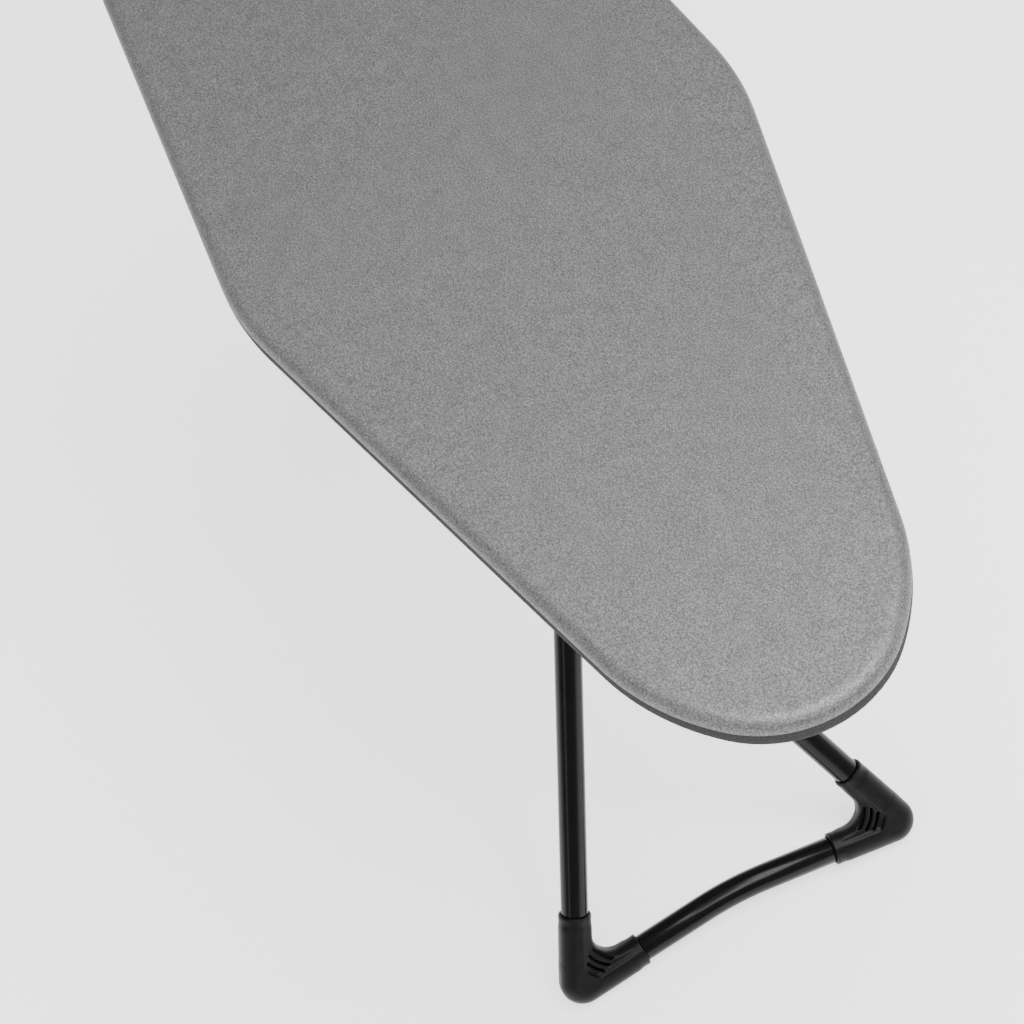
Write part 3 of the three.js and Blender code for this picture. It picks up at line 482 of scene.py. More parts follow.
def run_nodes(name, source, group, settings, material):
    """Applies a node tree to a source mesh and returns the result as a plain mesh object."""
    modifier = source.modifiers.new("made", "NODES")
    modifier.node_group = group
    names = {item.name: item.identifier for item in group.interface.items_tree if item.in_out == "INPUT"}
    for label, value in settings.items():
        modifier[names[label]] = value
    modifier[names["Material"]] = material
    source.update_tag()
    deps = bpy.context.evaluated_depsgraph_get()
    mesh = bpy.data.meshes.new_from_object(source.evaluated_get(deps))
    thing = bpy.data.objects.new(name, mesh)
    scene.collection.objects.link(thing)
    bpy.data.objects.remove(source)
    return thing


def finish_tree(group, output, geometry):
    """The last three nodes of each tree: realize, smooth and set the material."""
    entry = group.nodes["Group Input"]
    real = group.nodes.new("GeometryNodeRealizeInstances")
    smooth = group.nodes.new("GeometryNodeSetShadeSmooth")
    paint = group.nodes.new("GeometryNodeSetMaterial")
    group.links.new(geometry, real.inputs["Geometry"])
    group.links.new(real.outputs["Geometry"], smooth.inputs["Geometry"])
    group.links.new(smooth.outputs["Geometry"], paint.inputs["Geometry"])
    group.links.new(entry.outputs["Material"], paint.inputs["Material"])
    group.links.new(paint.outputs["Geometry"], output.inputs["Geometry"])


# Stitches: a capsule on every pitch of the hem's line, turned along it.
STITCH_PITCH = 0.0045
STITCH_LENGTH = 0.0030
STITCH_THREAD = 0.0005
STITCH_INSET = HEM_INSET - 0.0045
STITCH_ABOVE = 0.0006
stitch_tree, entry, leave = nodes_group("hem_stitching", [
    ("Pitch", "NodeSocketFloat", STITCH_PITCH),
    ("Length", "NodeSocketFloat", STITCH_LENGTH),
    ("Thread", "NodeSocketFloat", STITCH_THREAD),
    ("Material", "NodeSocketMaterial", None),
])
to_curve = stitch_tree.nodes.new("GeometryNodeMeshToCurve")
resample = stitch_tree.nodes.new("GeometryNodeResampleCurve")
resample.mode = "LENGTH"
thread = stitch_tree.nodes.new("GeometryNodeMeshUVSphere")
thread.inputs["Segments"].default_value = 6
thread.inputs["Rings"].default_value = 4
thread.inputs["Radius"].default_value = 0.5
stretch = stitch_tree.nodes.new("ShaderNodeCombineXYZ")
place = stitch_tree.nodes.new("GeometryNodeInstanceOnPoints")
along_line = stitch_tree.nodes.new("GeometryNodeInputTangent")
turn = stitch_tree.nodes.new("FunctionNodeAlignRotationToVector")
turn.axis = "X"
link = stitch_tree.links.new
link(entry.outputs["Geometry"], to_curve.inputs["Mesh"])
link(to_curve.outputs["Curve"], resample.inputs["Curve"])
link(entry.outputs["Pitch"], resample.inputs["Length"])
link(resample.outputs["Curve"], place.inputs["Points"])
link(thread.outputs["Mesh"], place.inputs["Instance"])
link(along_line.outputs["Tangent"], turn.inputs["Vector"])
link(turn.outputs["Rotation"], place.inputs["Rotation"])
link(entry.outputs["Length"], stretch.inputs["X"])
link(entry.outputs["Thread"], stretch.inputs["Y"])
link(entry.outputs["Thread"], stretch.inputs["Z"])
link(stretch.outputs["Vector"], place.inputs["Scale"])
finish_tree(stitch_tree, leave, place.outputs["Instances"])

thread_material, tree, shader = material_with("hem_thread", {"Roughness": 0.8})
shaded(tree, shader, place_noise(tree, 2500), (0.16, 0.16, 0.17), (0.27, 0.27, 0.28))
line = [(x, y, COVER_UNDER + STITCH_ABOVE) for x, y in inward(STITCH_INSET)]
stitch_line = mesh_object("stitch_line", line, [])
stitch_line.data.edges.add(len(line))
round_trip = [i for k in range(len(line)) for i in (k, (k + 1) % len(line))]
stitch_line.data.edges.foreach_set("vertices", round_trip)
stitches = run_nodes("hem_stitches", stitch_line, stitch_tree, {}, thread_material)
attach(stitches, "board")

# ---- Pad ----
# A needled felt pad lies between the cover and the deck. It is cut to the deck's plan, nearly 6 mm
# thick, soft at its upper edge and held only by the cover.
PAD_UNDER = 0.8624
PAD_TOP = 0.8682
PAD_INSET = 0.0052
PAD_ROUND = 0.0034
PAD_FLAT = 0.022
PAD_CUT = 0.0008
pad_rings = []
for share in (1.0, 0.8, 0.6, 0.4, 0.2, 0.08):
    pad_rings.append(at_height(towards_middle(PAD_FLAT, share), PAD_TOP))
pad_rings.append(at_height(inward(PAD_FLAT), PAD_TOP))
for k in range(0, 5):
    a = math.pi / 2 * k / 4
    ring = inward(PAD_INSET + PAD_ROUND * (1 - math.sin(a)))
    pad_rings.append(at_height(ring, PAD_TOP - PAD_ROUND * (1 - math.cos(a))))
pad_rings.append(at_height(inward(PAD_INSET), PAD_UNDER + PAD_CUT))
pad_rings.append(at_height(inward(PAD_INSET + PAD_CUT), PAD_UNDER))
for share in (0.0, 0.2, 0.4, 0.6, 0.8, 1.0):
    pad_rings.append(at_height(towards_middle(PAD_FLAT, share), PAD_UNDER))
pad = rings_mesh("felt_pad", pad_rings)
felt, tree, shader = material_with("felt", {"Roughness": 0.95, "Sheen Weight": 0.3})
shaded(tree, shader, place_noise(tree, 450, 4, 0.8), (0.60, 0.57, 0.50), (0.80, 0.78, 0.72))
bump(tree, shader, place_noise(tree, 700, 4, 0.8), 0.6, 0.0006)
pad.data.materials.append(felt)
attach(pad, "board")
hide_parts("pad")

# ---- Leg tubes and foot bars ----
# Each leg is two round steel tubes and a bowed steel foot bar, bent cold from 25 mm tube with a
# 1.2 mm wall and enamelled gloss black. The ends push into moulded elbows, the tops are drilled.
TUBE_DIAMETER = 0.025
TUBE_WALL = 0.0012
LEG_LENGTH = 0.995
CROSS_FROM_TOP = 0.300
PIVOT_Z = 0.824
HINGE_X = -0.320
FOOT_AXIS_HEIGHT = 0.0142
LEG_SPLAY = math.radians(22.6)
LEG_BEND_RADIUS = 0.090
FOOT_BAR_RISE = math.radians(5.85)
FOOT_BAR_BEND_RADIUS = 0.320
SOCKET_STOP = 0.029
BOLT_HOLE = 0.0046
AXLE_SLEEVE = 0.0083
SLIDE_BAR = 0.0063
DRILL_REACH = 0.02
SIDES = (("left", 1), ("right", -1))

lean = math.asin((PIVOT_Z - FOOT_AXIS_HEIGHT) / LEG_LENGTH)
cross_up = LEG_LENGTH - CROSS_FROM_TOP
legs = {
    "nose_leg": dict(span=0.1695, half=0.021, top=LEG_LENGTH - 0.003, back=-1, hole=AXLE_SLEEVE,
                     foot_x=HINGE_X + LEG_LENGTH * math.cos(lean), turn=-(math.pi / 2 - lean)),
    "tail_leg": dict(span=0.108, half=0.051, top=LEG_LENGTH + 0.014, back=1, hole=SLIDE_BAR,
                     foot_x=HINGE_X + (2 * CROSS_FROM_TOP - LEG_LENGTH) * math.cos(lean),
                     turn=math.pi / 2 - lean),
}
for leg in legs.values():
    foot = Matrix.Translation((leg["foot_x"], 0, FOOT_AXIS_HEIGHT))
    leg["stand"] = foot @ Matrix.Rotation(leg["turn"], 4, "Y")


def bent_path(corners, radius, pitch=0.004):
    """Straight runs joined by round bends of one radius."""
    corners = [Vector(c) for c in corners]
    points = [corners[0]]
    for before, corner, after in zip(corners, corners[1:], corners[2:]):
        into, out = (corner - before).normalized(), (after - corner).normalized()
        half = into.angle(out) / 2
        start = corner - into * radius * math.tan(half)
        centre = corner + (out - into).normalized() * radius / math.cos(half)
        axis = into.cross(out).normalized()
        steps = max(6, round(2 * half * radius / pitch))
        for k in range(steps + 1):
            points.append(centre + Matrix.Rotation(2 * half * k / steps, 3, axis) @ (start - centre))
    points.append(corners[-1])
    return points


def pipe(name, path, radius, wall=0.0, sides=48, close=0.0006):
    """A tube along a path, with a small round at each end; without a wall it is a solid rod."""
    path = np.array([p[:] for p in path])
    seg = np.diff(path, axis=0)
    seg /= np.linalg.norm(seg, axis=1, keepdims=True)
    tangent = np.vstack([seg[:1], seg[:-1] + seg[1:], seg[-1:]])
    tangent /= np.linalg.norm(tangent, axis=1, keepdims=True)
    stations = [(path[0], tangent[0], radius - close)]
    stations.append((path[0] + tangent[0] * close, tangent[0], radius))
    stations += [(p, t, radius) for p, t in zip(path[1:-1], tangent[1:-1])]
    stations.append((path[-1] - tangent[-1] * close, tangent[-1], radius))
    stations.append((path[-1], tangent[-1], radius - close))
    if wall:
        stations += [(p, t, radius - wall) for p, t in reversed(list(zip(path, tangent)))]
    guide = np.array((0.0, 0.0, 1.0)) if abs(tangent[0][2]) < 0.8 else np.array((1.0, 0.0, 0.0))
    points, faces = [], []
    for p, t, r in stations:
        u = np.cross(t, guide)
        u /= np.linalg.norm(u)
        v = np.cross(t, u)
        for s in range(sides):
            a = 2 * math.pi * s / sides
            points.append(p + r * (math.cos(a) * u + math.sin(a) * v))
    count = len(stations)
    for k in range(count if wall else count - 1):
        m = (k + 1) % count
        for s in range(sides):
            n = (s + 1) % sides
            faces.append((k * sides + s, k * sides + n, m * sides + n, m * sides + s))
    if not wall:
        faces.append(tuple(range(sides)))
        faces.append(tuple(reversed(range((count - 1) * sides, count * sides))))
    thing = mesh_object(name, points, faces)
    settle_normals(thing)
    return thing


def drilled(thing, drills):
    """Cuts round holes, each given as (from, to, radius)."""
    cutters = []
    for a, b, radius in drills:
        cutter = pipe("drill", [Vector(a), Vector(b)], radius, sides=32, close=0.0001)
        cut = thing.modifiers.new("drilled", "BOOLEAN")
        cut.object = cutter
        cut.solver = "EXACT"
        cut.operation = "DIFFERENCE"
        cutters.append(cutter)
    deps = bpy.context.evaluated_depsgraph_get()
    mesh = bpy.data.meshes.new_from_object(thing.evaluated_get(deps))
    thing.modifiers.clear()
    thing.data = mesh
    for cutter in cutters:
        bpy.data.objects.remove(cutter)
    sharpen(thing)


def sharpen(thing, degrees=32):
    thing.data.polygons.foreach_set("use_smooth", [True] * len(thing.data.polygons))
    thing.data.set_sharp_from_angle(angle=math.radians(degrees))


def fit(thing, body, material, slot, *nodes):
    """Every finished piece gets its material, its body and the solids it stands for; its slot is not used."""
    thing.data.materials.clear()
    thing.data.materials.append(material)
    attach(thing, body)
    if nodes:
        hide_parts(*nodes)


gloss_black, tree, shader = material_with("gloss_black_enamel", {"Specular IOR Level": 0.2})
shaded(tree, shader, place_noise(tree, 60, 3), (0.0022, 0.0022, 0.0023), (0.0042, 0.0041, 0.0040))
roughened(tree, shader, place_noise(tree, 140, 3), 0.16, 0.27)
bump(tree, shader, place_noise(tree, 260, 1), 0.05, 0.0004)


def leg_line(side, span, direction, distance):
    """A point along a leg or a foot bar, from the corner where their axes meet."""
    return Vector((0, side * span + direction[0] * side * distance, direction[1] * distance))


up_leg = (-math.sin(LEG_SPLAY), math.cos(LEG_SPLAY))
along_bar = (-math.cos(FOOT_BAR_RISE), math.sin(FOOT_BAR_RISE))
for leg_name, leg in legs.items():
    stand, span = leg["stand"], leg["span"]
    for name, side in SIDES:
        inner = side * leg["half"]
        bend = (span - leg["half"]) / math.tan(LEG_SPLAY)
        corners = [leg_line(side, span, up_leg, SOCKET_STOP), (0, inner, bend), (0, inner, leg["top"])]
        route = bent_path(corners, LEG_BEND_RADIUS)
        tube = pipe(f"{leg_name}_steel_tube_{name}", route, TUBE_DIAMETER / 2, TUBE_WALL)
        near, far = side * (leg["half"] - DRILL_REACH), side * (leg["half"] + DRILL_REACH)
        holes = ((cross_up, BOLT_HOLE), (LEG_LENGTH, leg["hole"]))
        drilled(tube, [((0, near, up), (0, far, up), radius) for up, radius in holes])
        tube.data.transform(stand)
        fit(tube, leg_name, gloss_black, "black_paint", f"{leg_name}_tube_{name}")
    middle = (0, 0, span * math.tan(FOOT_BAR_RISE))
    ends = [leg_line(side, span, along_bar, SOCKET_STOP) for side in (1, -1)]
    route = bent_path([ends[0], middle, ends[1]], FOOT_BAR_BEND_RADIUS)
    bar = pipe(f"{leg_name}_steel_foot_bar", route, TUBE_DIAMETER / 2, TUBE_WALL)
    bar.data.transform(stand)
    fit(bar, leg_name, gloss_black, "black_paint", f"{leg_name}_foot_bar")

# ---- Elbows ----
# Four moulded nylon corners join the leg tubes to the foot bars and stand on the floor. Each has two
# round sockets, a rounded toe and, between the sockets, a dished web with three curved slots.
ELBOW_RADIUS = 15.5
ELBOW_CORE = 2.0
TOE_RADIUS = 21.5
CROTCH_RADIUS = 17.0
BORE_RADIUS = 12.75
LEG_REACH = 76.1
BAR_REACH = 71.6
RIM_BAND = 4.2
MOUTH_TAPER = 0.3
DISH_DEPTH = 3.4
DISH_EDGE = 22.5
SLOTS = [(42.8, 23.0), (36.3, 23.0), (29.8, 18.0)]
SLOT_WIDTH = 2.8
SLOT_DEPTH = 5.5
SLOT_CURVE = 34.0
SCREW_AT = 54.0
PILOT_RADIUS = 2.1
TAPER_FROM = 26.0
LEG_SOCKET_STEP = 0.18
BAND_PROUD = 0.14
BAND_EDGE = 0.35
MOUTH_ROUND = 1.4
BORE_ROUND = 0.9
FACE_PROUD = 0.9
SLOT_ROUND = 0.7
GRAIN = 0.85

e_leg = np.array(up_leg)
e_bar = np.array(along_bar)
n_leg = np.array((-e_leg[1], e_leg[0]))
n_leg = -n_leg if n_leg @ e_bar > 0 else n_leg
n_bar = np.array((-e_bar[1], e_bar[0]))
n_bar = -n_bar if n_bar @ e_leg > 0 else n_bar
middle_line = (e_leg + e_bar) / np.linalg.norm(e_leg + e_bar)
cross_line = np.array((-middle_line[1], middle_line[0]))
half_corner = math.acos(float(e_leg @ middle_line))
round_over = ELBOW_RADIUS - ELBOW_CORE
crotch_centre = middle_line * (CROTCH_RADIUS + round_over + ELBOW_CORE) / math.sin(half_corner)
toe_centre = middle_line * (TOE_RADIUS - round_over - ELBOW_CORE) / math.sin(half_corner)


def arc_between(centre, radius, from_dir, to_dir, steps=20):
    a = math.atan2(from_dir[1], from_dir[0])
    turn = (math.atan2(to_dir[1], to_dir[0]) - a + math.pi) % (2 * math.pi) - math.pi
    return [centre + radius * facing(a + turn * k / steps) for k in range(steps + 1)]


contour = np.array([
    e_leg * (LEG_REACH - round_over) + n_leg * ELBOW_CORE,
    *arc_between(toe_centre, TOE_RADIUS - round_over, n_leg, n_bar),
    e_bar * (BAR_REACH - round_over) + n_bar * ELBOW_CORE,
    e_bar * (BAR_REACH - round_over) - n_bar * ELBOW_CORE,
    *arc_between(crotch_centre, CROTCH_RADIUS + round_over, n_bar, n_leg),
    e_leg * (LEG_REACH - round_over) - n_leg * ELBOW_CORE,
])


def to_contour(q):
    """Distance to the flat contour, negative inside it."""
    best = np.full(len(q), 1e9)
    inside = np.zeros(len(q), bool)
    for a, b in zip(contour, np.roll(contour, -1, axis=0)):
        edge = b - a
        t = np.clip(((q - a) @ edge) / max(edge @ edge, 1e-12), 0, 1)
        best = np.minimum(best, np.linalg.norm(q - a - t[:, None] * edge, axis=1))
        if a[1] != b[1]:
            spans = (a[1] > q[:, 1]) != (b[1] > q[:, 1])
            inside ^= spans & (q[:, 0] < a[0] + (q[:, 1] - a[1]) * edge[0] / (b[1] - a[1]))
    return np.where(inside, -best, best)


def ease(low, high, value):
    t = np.clip((value - low) / (high - low), 0, 1)
    return t * t * (3 - 2 * t)


def soft_max(a, b, k):
    return np.maximum(a, b) + np.maximum(k - np.abs(a - b), 0) ** 2 / (4 * k)


def soft_min(a, b, k):
    return -soft_max(-a, -b, k)


def elbow_field(p):
    """Distance to the moulding's surface in mm, from the corner where the two tubes' axes meet."""
    x, q = p[:, 0], p[:, 1:3]
    s_leg, s_bar = q @ e_leg, q @ e_bar
    to_web_leg, to_web_bar = -(q @ n_leg), -(q @ n_bar)
    taper_leg = MOUTH_TAPER * ease(TAPER_FROM, LEG_REACH - RIM_BAND, s_leg)
    taper_leg = taper_leg + LEG_SOCKET_STEP * ease(28.6, 29.4, s_leg)
    taper_bar = MOUTH_TAPER * ease(TAPER_FROM, BAR_REACH - RIM_BAND, s_bar)
    flat = to_contour(q)
    wide = round_over - np.maximum(taper_leg * (s_leg > s_bar), taper_bar * (s_bar >= s_leg))
    body = np.hypot(np.maximum(flat, 0), np.maximum(np.abs(x) - ELBOW_CORE, 0)) - wide
    ring_leg = np.hypot(x, to_web_leg)
    ring_bar = np.hypot(x, to_web_bar)
    sockets = ((ring_leg, s_leg, LEG_REACH, taper_leg), (ring_bar, s_bar, BAR_REACH, taper_bar))
    for ring, s, reach, taper in sockets:
        band = BAND_PROUD * ease(reach - RIM_BAND - BAND_EDGE, reach - RIM_BAND + BAND_EDGE, s)
        collar = np.maximum(ring - (ELBOW_RADIUS - taper + band), 20 - s)
        body = soft_min(body, soft_max(collar, s - reach, MOUTH_ROUND), 0.8)
    to_arc = np.linalg.norm(q - crotch_centre, axis=1)
    arc_radius = np.linalg.norm(crotch_centre) - DISH_EDGE
    in_web = ease(3.5, 9.5, np.minimum(to_web_leg, to_web_bar))
    dish = in_web * ease(arc_radius, arc_radius - 2.0, to_arc)
    face = ELBOW_RADIUS + FACE_PROUD - (DISH_DEPTH + FACE_PROUD) * dish
    body = soft_max(body, np.abs(x) - face, 1.2)
    for distance, length in SLOTS:
        centre = middle_line * (distance + SLOT_CURVE)
        away = np.abs(np.linalg.norm(q - centre, axis=1) - SLOT_CURVE)
        sideways = np.abs(q @ cross_line) - (length - SLOT_WIDTH) / 2
        slot = np.hypot(np.maximum(sideways, 0), away) - SLOT_WIDTH / 2
        below = ELBOW_RADIUS - DISH_DEPTH - SLOT_DEPTH - np.abs(x)
        body = soft_max(body, -np.maximum(slot, below), SLOT_ROUND)
    for ring, s, _, _ in sockets:
        bore = np.maximum(ring - BORE_RADIUS, SOCKET_STOP * 1000 - 0.3 - s)
        body = soft_max(body, -bore, BORE_ROUND)
    pilot = np.hypot(s_leg - SCREW_AT, to_web_leg) - PILOT_RADIUS
    body = np.maximum(body, -np.maximum(pilot, x + 5))
    floor_above = FOOT_AXIS_HEIGHT * 1000 + p[:, 2] * math.sin(lean) + x * math.cos(lean)
    return soft_max(body, -floor_above, 1.0)


def skin_of(field, low, high, step):
    """A quad skin on the field's zero surface, one point to each grid cell that it crosses."""
    axes = [np.arange(a, b + step, step) for a, b in zip(low, high)]
    grid = np.stack(np.meshgrid(*axes, indexing="ij"), axis=-1)
    values = field(grid.reshape(-1, 3)).reshape(grid.shape[:3])
    cells = tuple(n - 1 for n in values.shape)
    total, count = np.zeros(cells + (3,)), np.zeros(cells)
    crossings = []
    for axis in range(3):
        a = np.take(values, range(0, values.shape[axis] - 1), axis=axis)
        b = np.take(values, range(1, values.shape[axis]), axis=axis)
        cross = (a < 0) != (b < 0)
        index = np.argwhere(cross)
        av, bv = a[cross], b[cross]
        spot = index.astype(float)
        spot[:, axis] += av / (av - bv)
        others = [o for o in range(3) if o != axis]
        for du in (0, 1):
            for dv in (0, 1):
                cell = index.copy()
                cell[:, others[0]] -= du
                cell[:, others[1]] -= dv
                ok = np.all((cell >= 0) & (cell < cells), axis=1)
                np.add.at(total, tuple(cell[ok].T), spot[ok])
                np.add.at(count, tuple(cell[ok].T), 1)
        crossings.append((axis, others, index, av < 0))
    number = np.full(cells, -1)
    used = count > 0
    number[used] = np.arange(used.sum())
    points = np.array(low) + step * total[used] / count[used][:, None]
    faces = []
    for axis, others, index, forwards in crossings:
        u, v = others
        ok = (index[:, u] > 0) & (index[:, v] > 0)
        index, forwards = index[ok], forwards[ok]
        loop = []
        for du, dv in ((1, 1), (0, 1), (0, 0), (1, 0)):
            cell = index.copy()
            cell[:, u] -= du
            cell[:, v] -= dv
            loop.append(number[tuple(cell.T)])
        faces.append(np.stack(loop, axis=1))
    for _ in range(3):
        d = field(points)
        slope = np.stack([(field(points + 0.05 * np.eye(3)[i]) - d) / 0.05 for i in range(3)], axis=1)
        move = slope * (d / np.maximum((slope ** 2).sum(axis=1), 0.05))[:, None]
        length = np.linalg.norm(move, axis=1, keepdims=True)
        points = points - move * np.minimum(1, 0.4 * step / np.maximum(length, 1e-9))
    return points, np.vstack(faces)


satin_black, tree, shader = material_with("satin_black_nylon", {"Specular IOR Level": 0.17})
shaded(tree, shader, place_noise(tree, 90, 3), (0.0030, 0.0030, 0.0032), (0.0058, 0.0058, 0.0061))
roughened(tree, shader, place_noise(tree, 200, 3), 0.34, 0.48)
bump(tree, shader, place_noise(tree, 1600, 2), 0.25, 0.0003)

moulded, quads = skin_of(elbow_field, (-18, -92, -30), (18, 30, 82), GRAIN)
for leg_name, leg in legs.items():
    flip_x = -leg["back"]
    for name, side in SIDES:
        shape = moulded * (flip_x, side, 1) / 1000 + (0, side * leg["span"], 0)
        elbow = mesh_object(f"{leg_name}_moulded_elbow_{name}", shape, quads)
        settle_normals(elbow)
        elbow.data.transform(leg["stand"])
        fit(elbow, leg_name, satin_black, "black_plastic", f"{leg_name}_elbow_{name}")

# ---- Screws and rivets ----
# Zinc-plated rivets hold the rails and brackets, and a pan-head screw holds each elbow on its leg.
# Each kind has one turned profile, and the rivet is set out on its own points.
set_out, entry, leave = nodes_group("set_out_on_points", [
    ("Piece", "NodeSocketObject", None),
    ("Material", "NodeSocketMaterial", None),
])
shape_of = set_out.nodes.new("GeometryNodeObjectInfo")
spots = set_out.nodes.new("GeometryNodeInstanceOnPoints")
set_out.links.new(entry.outputs["Piece"], shape_of.inputs["Object"])
set_out.links.new(entry.outputs["Geometry"], spots.inputs["Points"])
set_out.links.new(shape_of.outputs["Geometry"], spots.inputs["Instance"])
finish_tree(set_out, leave, spots.outputs["Instances"])


def turned_piece(name, profile, at, axis, sides=40):
    """A lathe shape: (radius, height) from axis to axis, stood at a point along a direction."""
    points, faces, rows = [], [], []
    turn = Vector((0, 0, 1)).rotation_difference(Vector(axis)).to_matrix()
    for radius, height in profile:
        if radius < 1e-6:
            row = [len(points)] * sides
            points.append(Vector(at) + turn @ Vector((0, 0, height)))
        else:
            row = [len(points) + s for s in range(sides)]
            for s in range(sides):
                a = 2 * math.pi * s / sides
                spoke = Vector((radius * math.cos(a), radius * math.sin(a), height))
                points.append(Vector(at) + turn @ spoke)
        rows.append(row)
    for low, high in zip(rows, rows[1:]):
        for s in range(sides):
            n = (s + 1) % sides
            face = list(dict.fromkeys((low[s], low[n], high[n], high[s])))
            if len(face) > 2:
                faces.append(face)
    thing = mesh_object(name, points, faces)
    settle_normals(thing)
    sharpen(thing, 35)
    return thing


zinc, tree, shader = material_with("zinc_plate", {"Metallic": 1.0})
shaded(tree, shader, place_noise(tree, 160, 4), (0.52, 0.53, 0.55), (0.70, 0.70, 0.71))
roughened(tree, shader, place_noise(tree, 500, 3, stretch=(0.15, 1, 1)), 0.28, 0.46)
bump(tree, shader, place_noise(tree, 900, 2, stretch=(0.1, 1, 1)), 0.08, 0.0002)

HEAD_HEIGHT = 0.0016
RIVET = [
    (0, -HEAD_HEIGHT), (0.0012, -0.00152), (0.0024, -0.0012), (0.0032, -0.0006), (0.0036, 0), (0.0020, 0),
    (0.0020, 0.0034), (0.0032, 0.0034), (0.0028, 0.0042), (0.0018, 0.0046), (0, 0.0047),
]
rivet_names = [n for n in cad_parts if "_rivet_" in n]
pattern = turned_piece("rivet_pattern", RIVET, (0, 0, 0), (0, 0, 1), sides=24)
for rivet_name in rivet_names:
    low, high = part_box(rivet_name)
    seat = ((low.x + high.x) / 2, (low.y + high.y) / 2, low.z + HEAD_HEIGHT)
    spot = mesh_object("spot", [seat], [])
    rivet = run_nodes(rivet_name + "_set", spot, set_out, {"Piece": pattern}, zinc)
    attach(rivet, "board")
    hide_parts(rivet_name)
bpy.data.objects.remove(pattern)

SCREW_SEAT = 0.0157
SCREW = [
    (0, -0.008), (0.0016, -0.0078), (0.0018, 0), (0.0040, 0), (0.00395, 0.0006), (0.0036, 0.0014),
    (0.0029, 0.0020), (0.0018, 0.0023), (0.00115, 0.00232), (0.0011, 0.0010), (0, 0.0008),
]
for leg_name, leg in legs.items():
    for name, side in SIDES:
        on_leg = leg_line(side, leg["span"], up_leg, SCREW_AT / 1000)
        at = on_leg + Vector((leg["back"] * SCREW_SEAT, 0, 0))
        screw = turned_piece(f"{leg_name}_pan_screw_{name}", SCREW, at, (leg["back"], 0, 0), sides=32)
        screw.data.transform(leg["stand"])
        fit(screw, leg_name, zinc, "zinc_steel", f"{leg_name}_screw_{name}")

# ---- Rim, rods and turned plastics ----
# The rim is one black tube bent round the deck's edge. The axle and the slide bar are plain
# zinc-plated rod, and the glides and caps on their ends are turned or moulded nylon.
RIM_HEIGHT = 0.8532
RIM_RADIUS = 0.0075
ROD_RADIUS = 0.006
AXLE_HALF = 0.1205
SLEEVE_HALF = 0.1114
SLEEVE_RADIUS = 0.008
SLEEVE_WALL = 0.0016
GLIDE_FLANGE = 0.0016
PLUG_SEAT = 0.0143

rim = swept("rim", at_height(inward(EDGE_RADIUS), RIM_HEIGHT), RIM_RADIUS, sides=24, closed=True)
fit(rim, "board", gloss_black, "black_paint", "rim_tube")

grey_nylon, tree, shader = material_with("grey_nylon", {"Roughness": 0.5})
shaded(tree, shader, place_noise(tree, 120, 3), (0.085, 0.09, 0.095), (0.13, 0.135, 0.14))
bump(tree, shader, place_noise(tree, 1400, 2), 0.2, 0.0003)

axle_ends = [(HINGE_X, -AXLE_HALF, PIVOT_Z), (HINGE_X, AXLE_HALF, PIVOT_Z)]
axle = pipe("hinge_axle_rod", axle_ends, ROD_RADIUS)
fit(axle, "board", zinc, "zinc_steel", "hinge_axle")
sleeve_ends = [(HINGE_X, -SLEEVE_HALF, PIVOT_Z), (HINGE_X, SLEEVE_HALF, PIVOT_Z)]
sleeve = pipe("pivot_sleeve", sleeve_ends, SLEEVE_RADIUS, SLEEVE_WALL)
fit(sleeve, "nose_leg", gloss_black, "black_paint", "nose_leg_pivot_tube")
low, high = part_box("slide_bar")
bar_at = Vector(((low.x + high.x) / 2, 0, PIVOT_Z))
bar_ends = [bar_at + Vector((0, low.y, 0)), bar_at + Vector((0, high.y, 0))]
bar = pipe("slide_bar_rod", bar_ends, ROD_RADIUS)
fit(bar, "tail_leg", zinc, "zinc_steel", "slide_bar")

# Each profile runs from the bore or the axis outwards: a flanged bush, a domed cap and a plug.
CAP = [
    (0.0063, 0), (0.0097, 0), (0.0100, 0.0004), (0.0100, 0.0014), (0.0094, 0.0030), (0.0086, 0.0058),
    (0.0074, 0.0082), (0.0058, 0.0094), (0, 0.0097), (0, 0.0074), (0.0063, 0.0074), (0.0063, 0),
]
PLUG = [
    (0, -0.005), (0.0104, -0.005), (0.0107, -0.0046), (0.0107, 0), (0.0125, 0), (0.0126, 0.0004),
    (0.0122, 0.0013), (0.0108, 0.0020), (0.0070, 0.0024), (0, 0.0025),
]
tail = legs["tail_leg"]
for name, side in SIDES:
    low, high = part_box(f"glide_{name}")
    inner = min(abs(low.y), abs(high.y))
    outer = max(abs(low.y), abs(high.y))
    deep = outer - inner
    flange = [(0.0063, 0), (0.0094, 0), (0.0099, 0.0005), (0.0099, 0.0013), (0.0096, GLIDE_FLANGE),
              (0.0069, GLIDE_FLANGE)]
    glide_profile = flange + [(radius, deep - height) for radius, height in reversed(flange)] + flange[:1]
    glide = turned_piece(f"glide_bush_{name}", glide_profile, (bar_at.x, side * inner, PIVOT_Z), (0, side, 0))
    settle_normals(glide, merge=1e-6)
    sharpen(glide, 35)
    fit(glide, "tail_leg", grey_nylon, "grey_plastic", f"glide_{name}")
    low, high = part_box(f"axle_cap_{name}")
    inner = min(abs(low.y), abs(high.y))
    cap = turned_piece(f"axle_push_cap_{name}", CAP, (HINGE_X, side * inner, PIVOT_Z), (0, side, 0))
    settle_normals(cap, merge=1e-6)
    sharpen(cap, 40)
    fit(cap, "board", grey_nylon, "grey_plastic", f"axle_cap_{name}")
    plug_at = (0, side * tail["half"], LEG_LENGTH + PLUG_SEAT)
    plug = turned_piece(f"tube_plug_{name}", PLUG, plug_at, (0, 0, 1))
    plug.data.transform(tail["stand"])
    fit(plug, "tail_leg", satin_black, "black_plastic", f"tail_leg_cap_{name}")

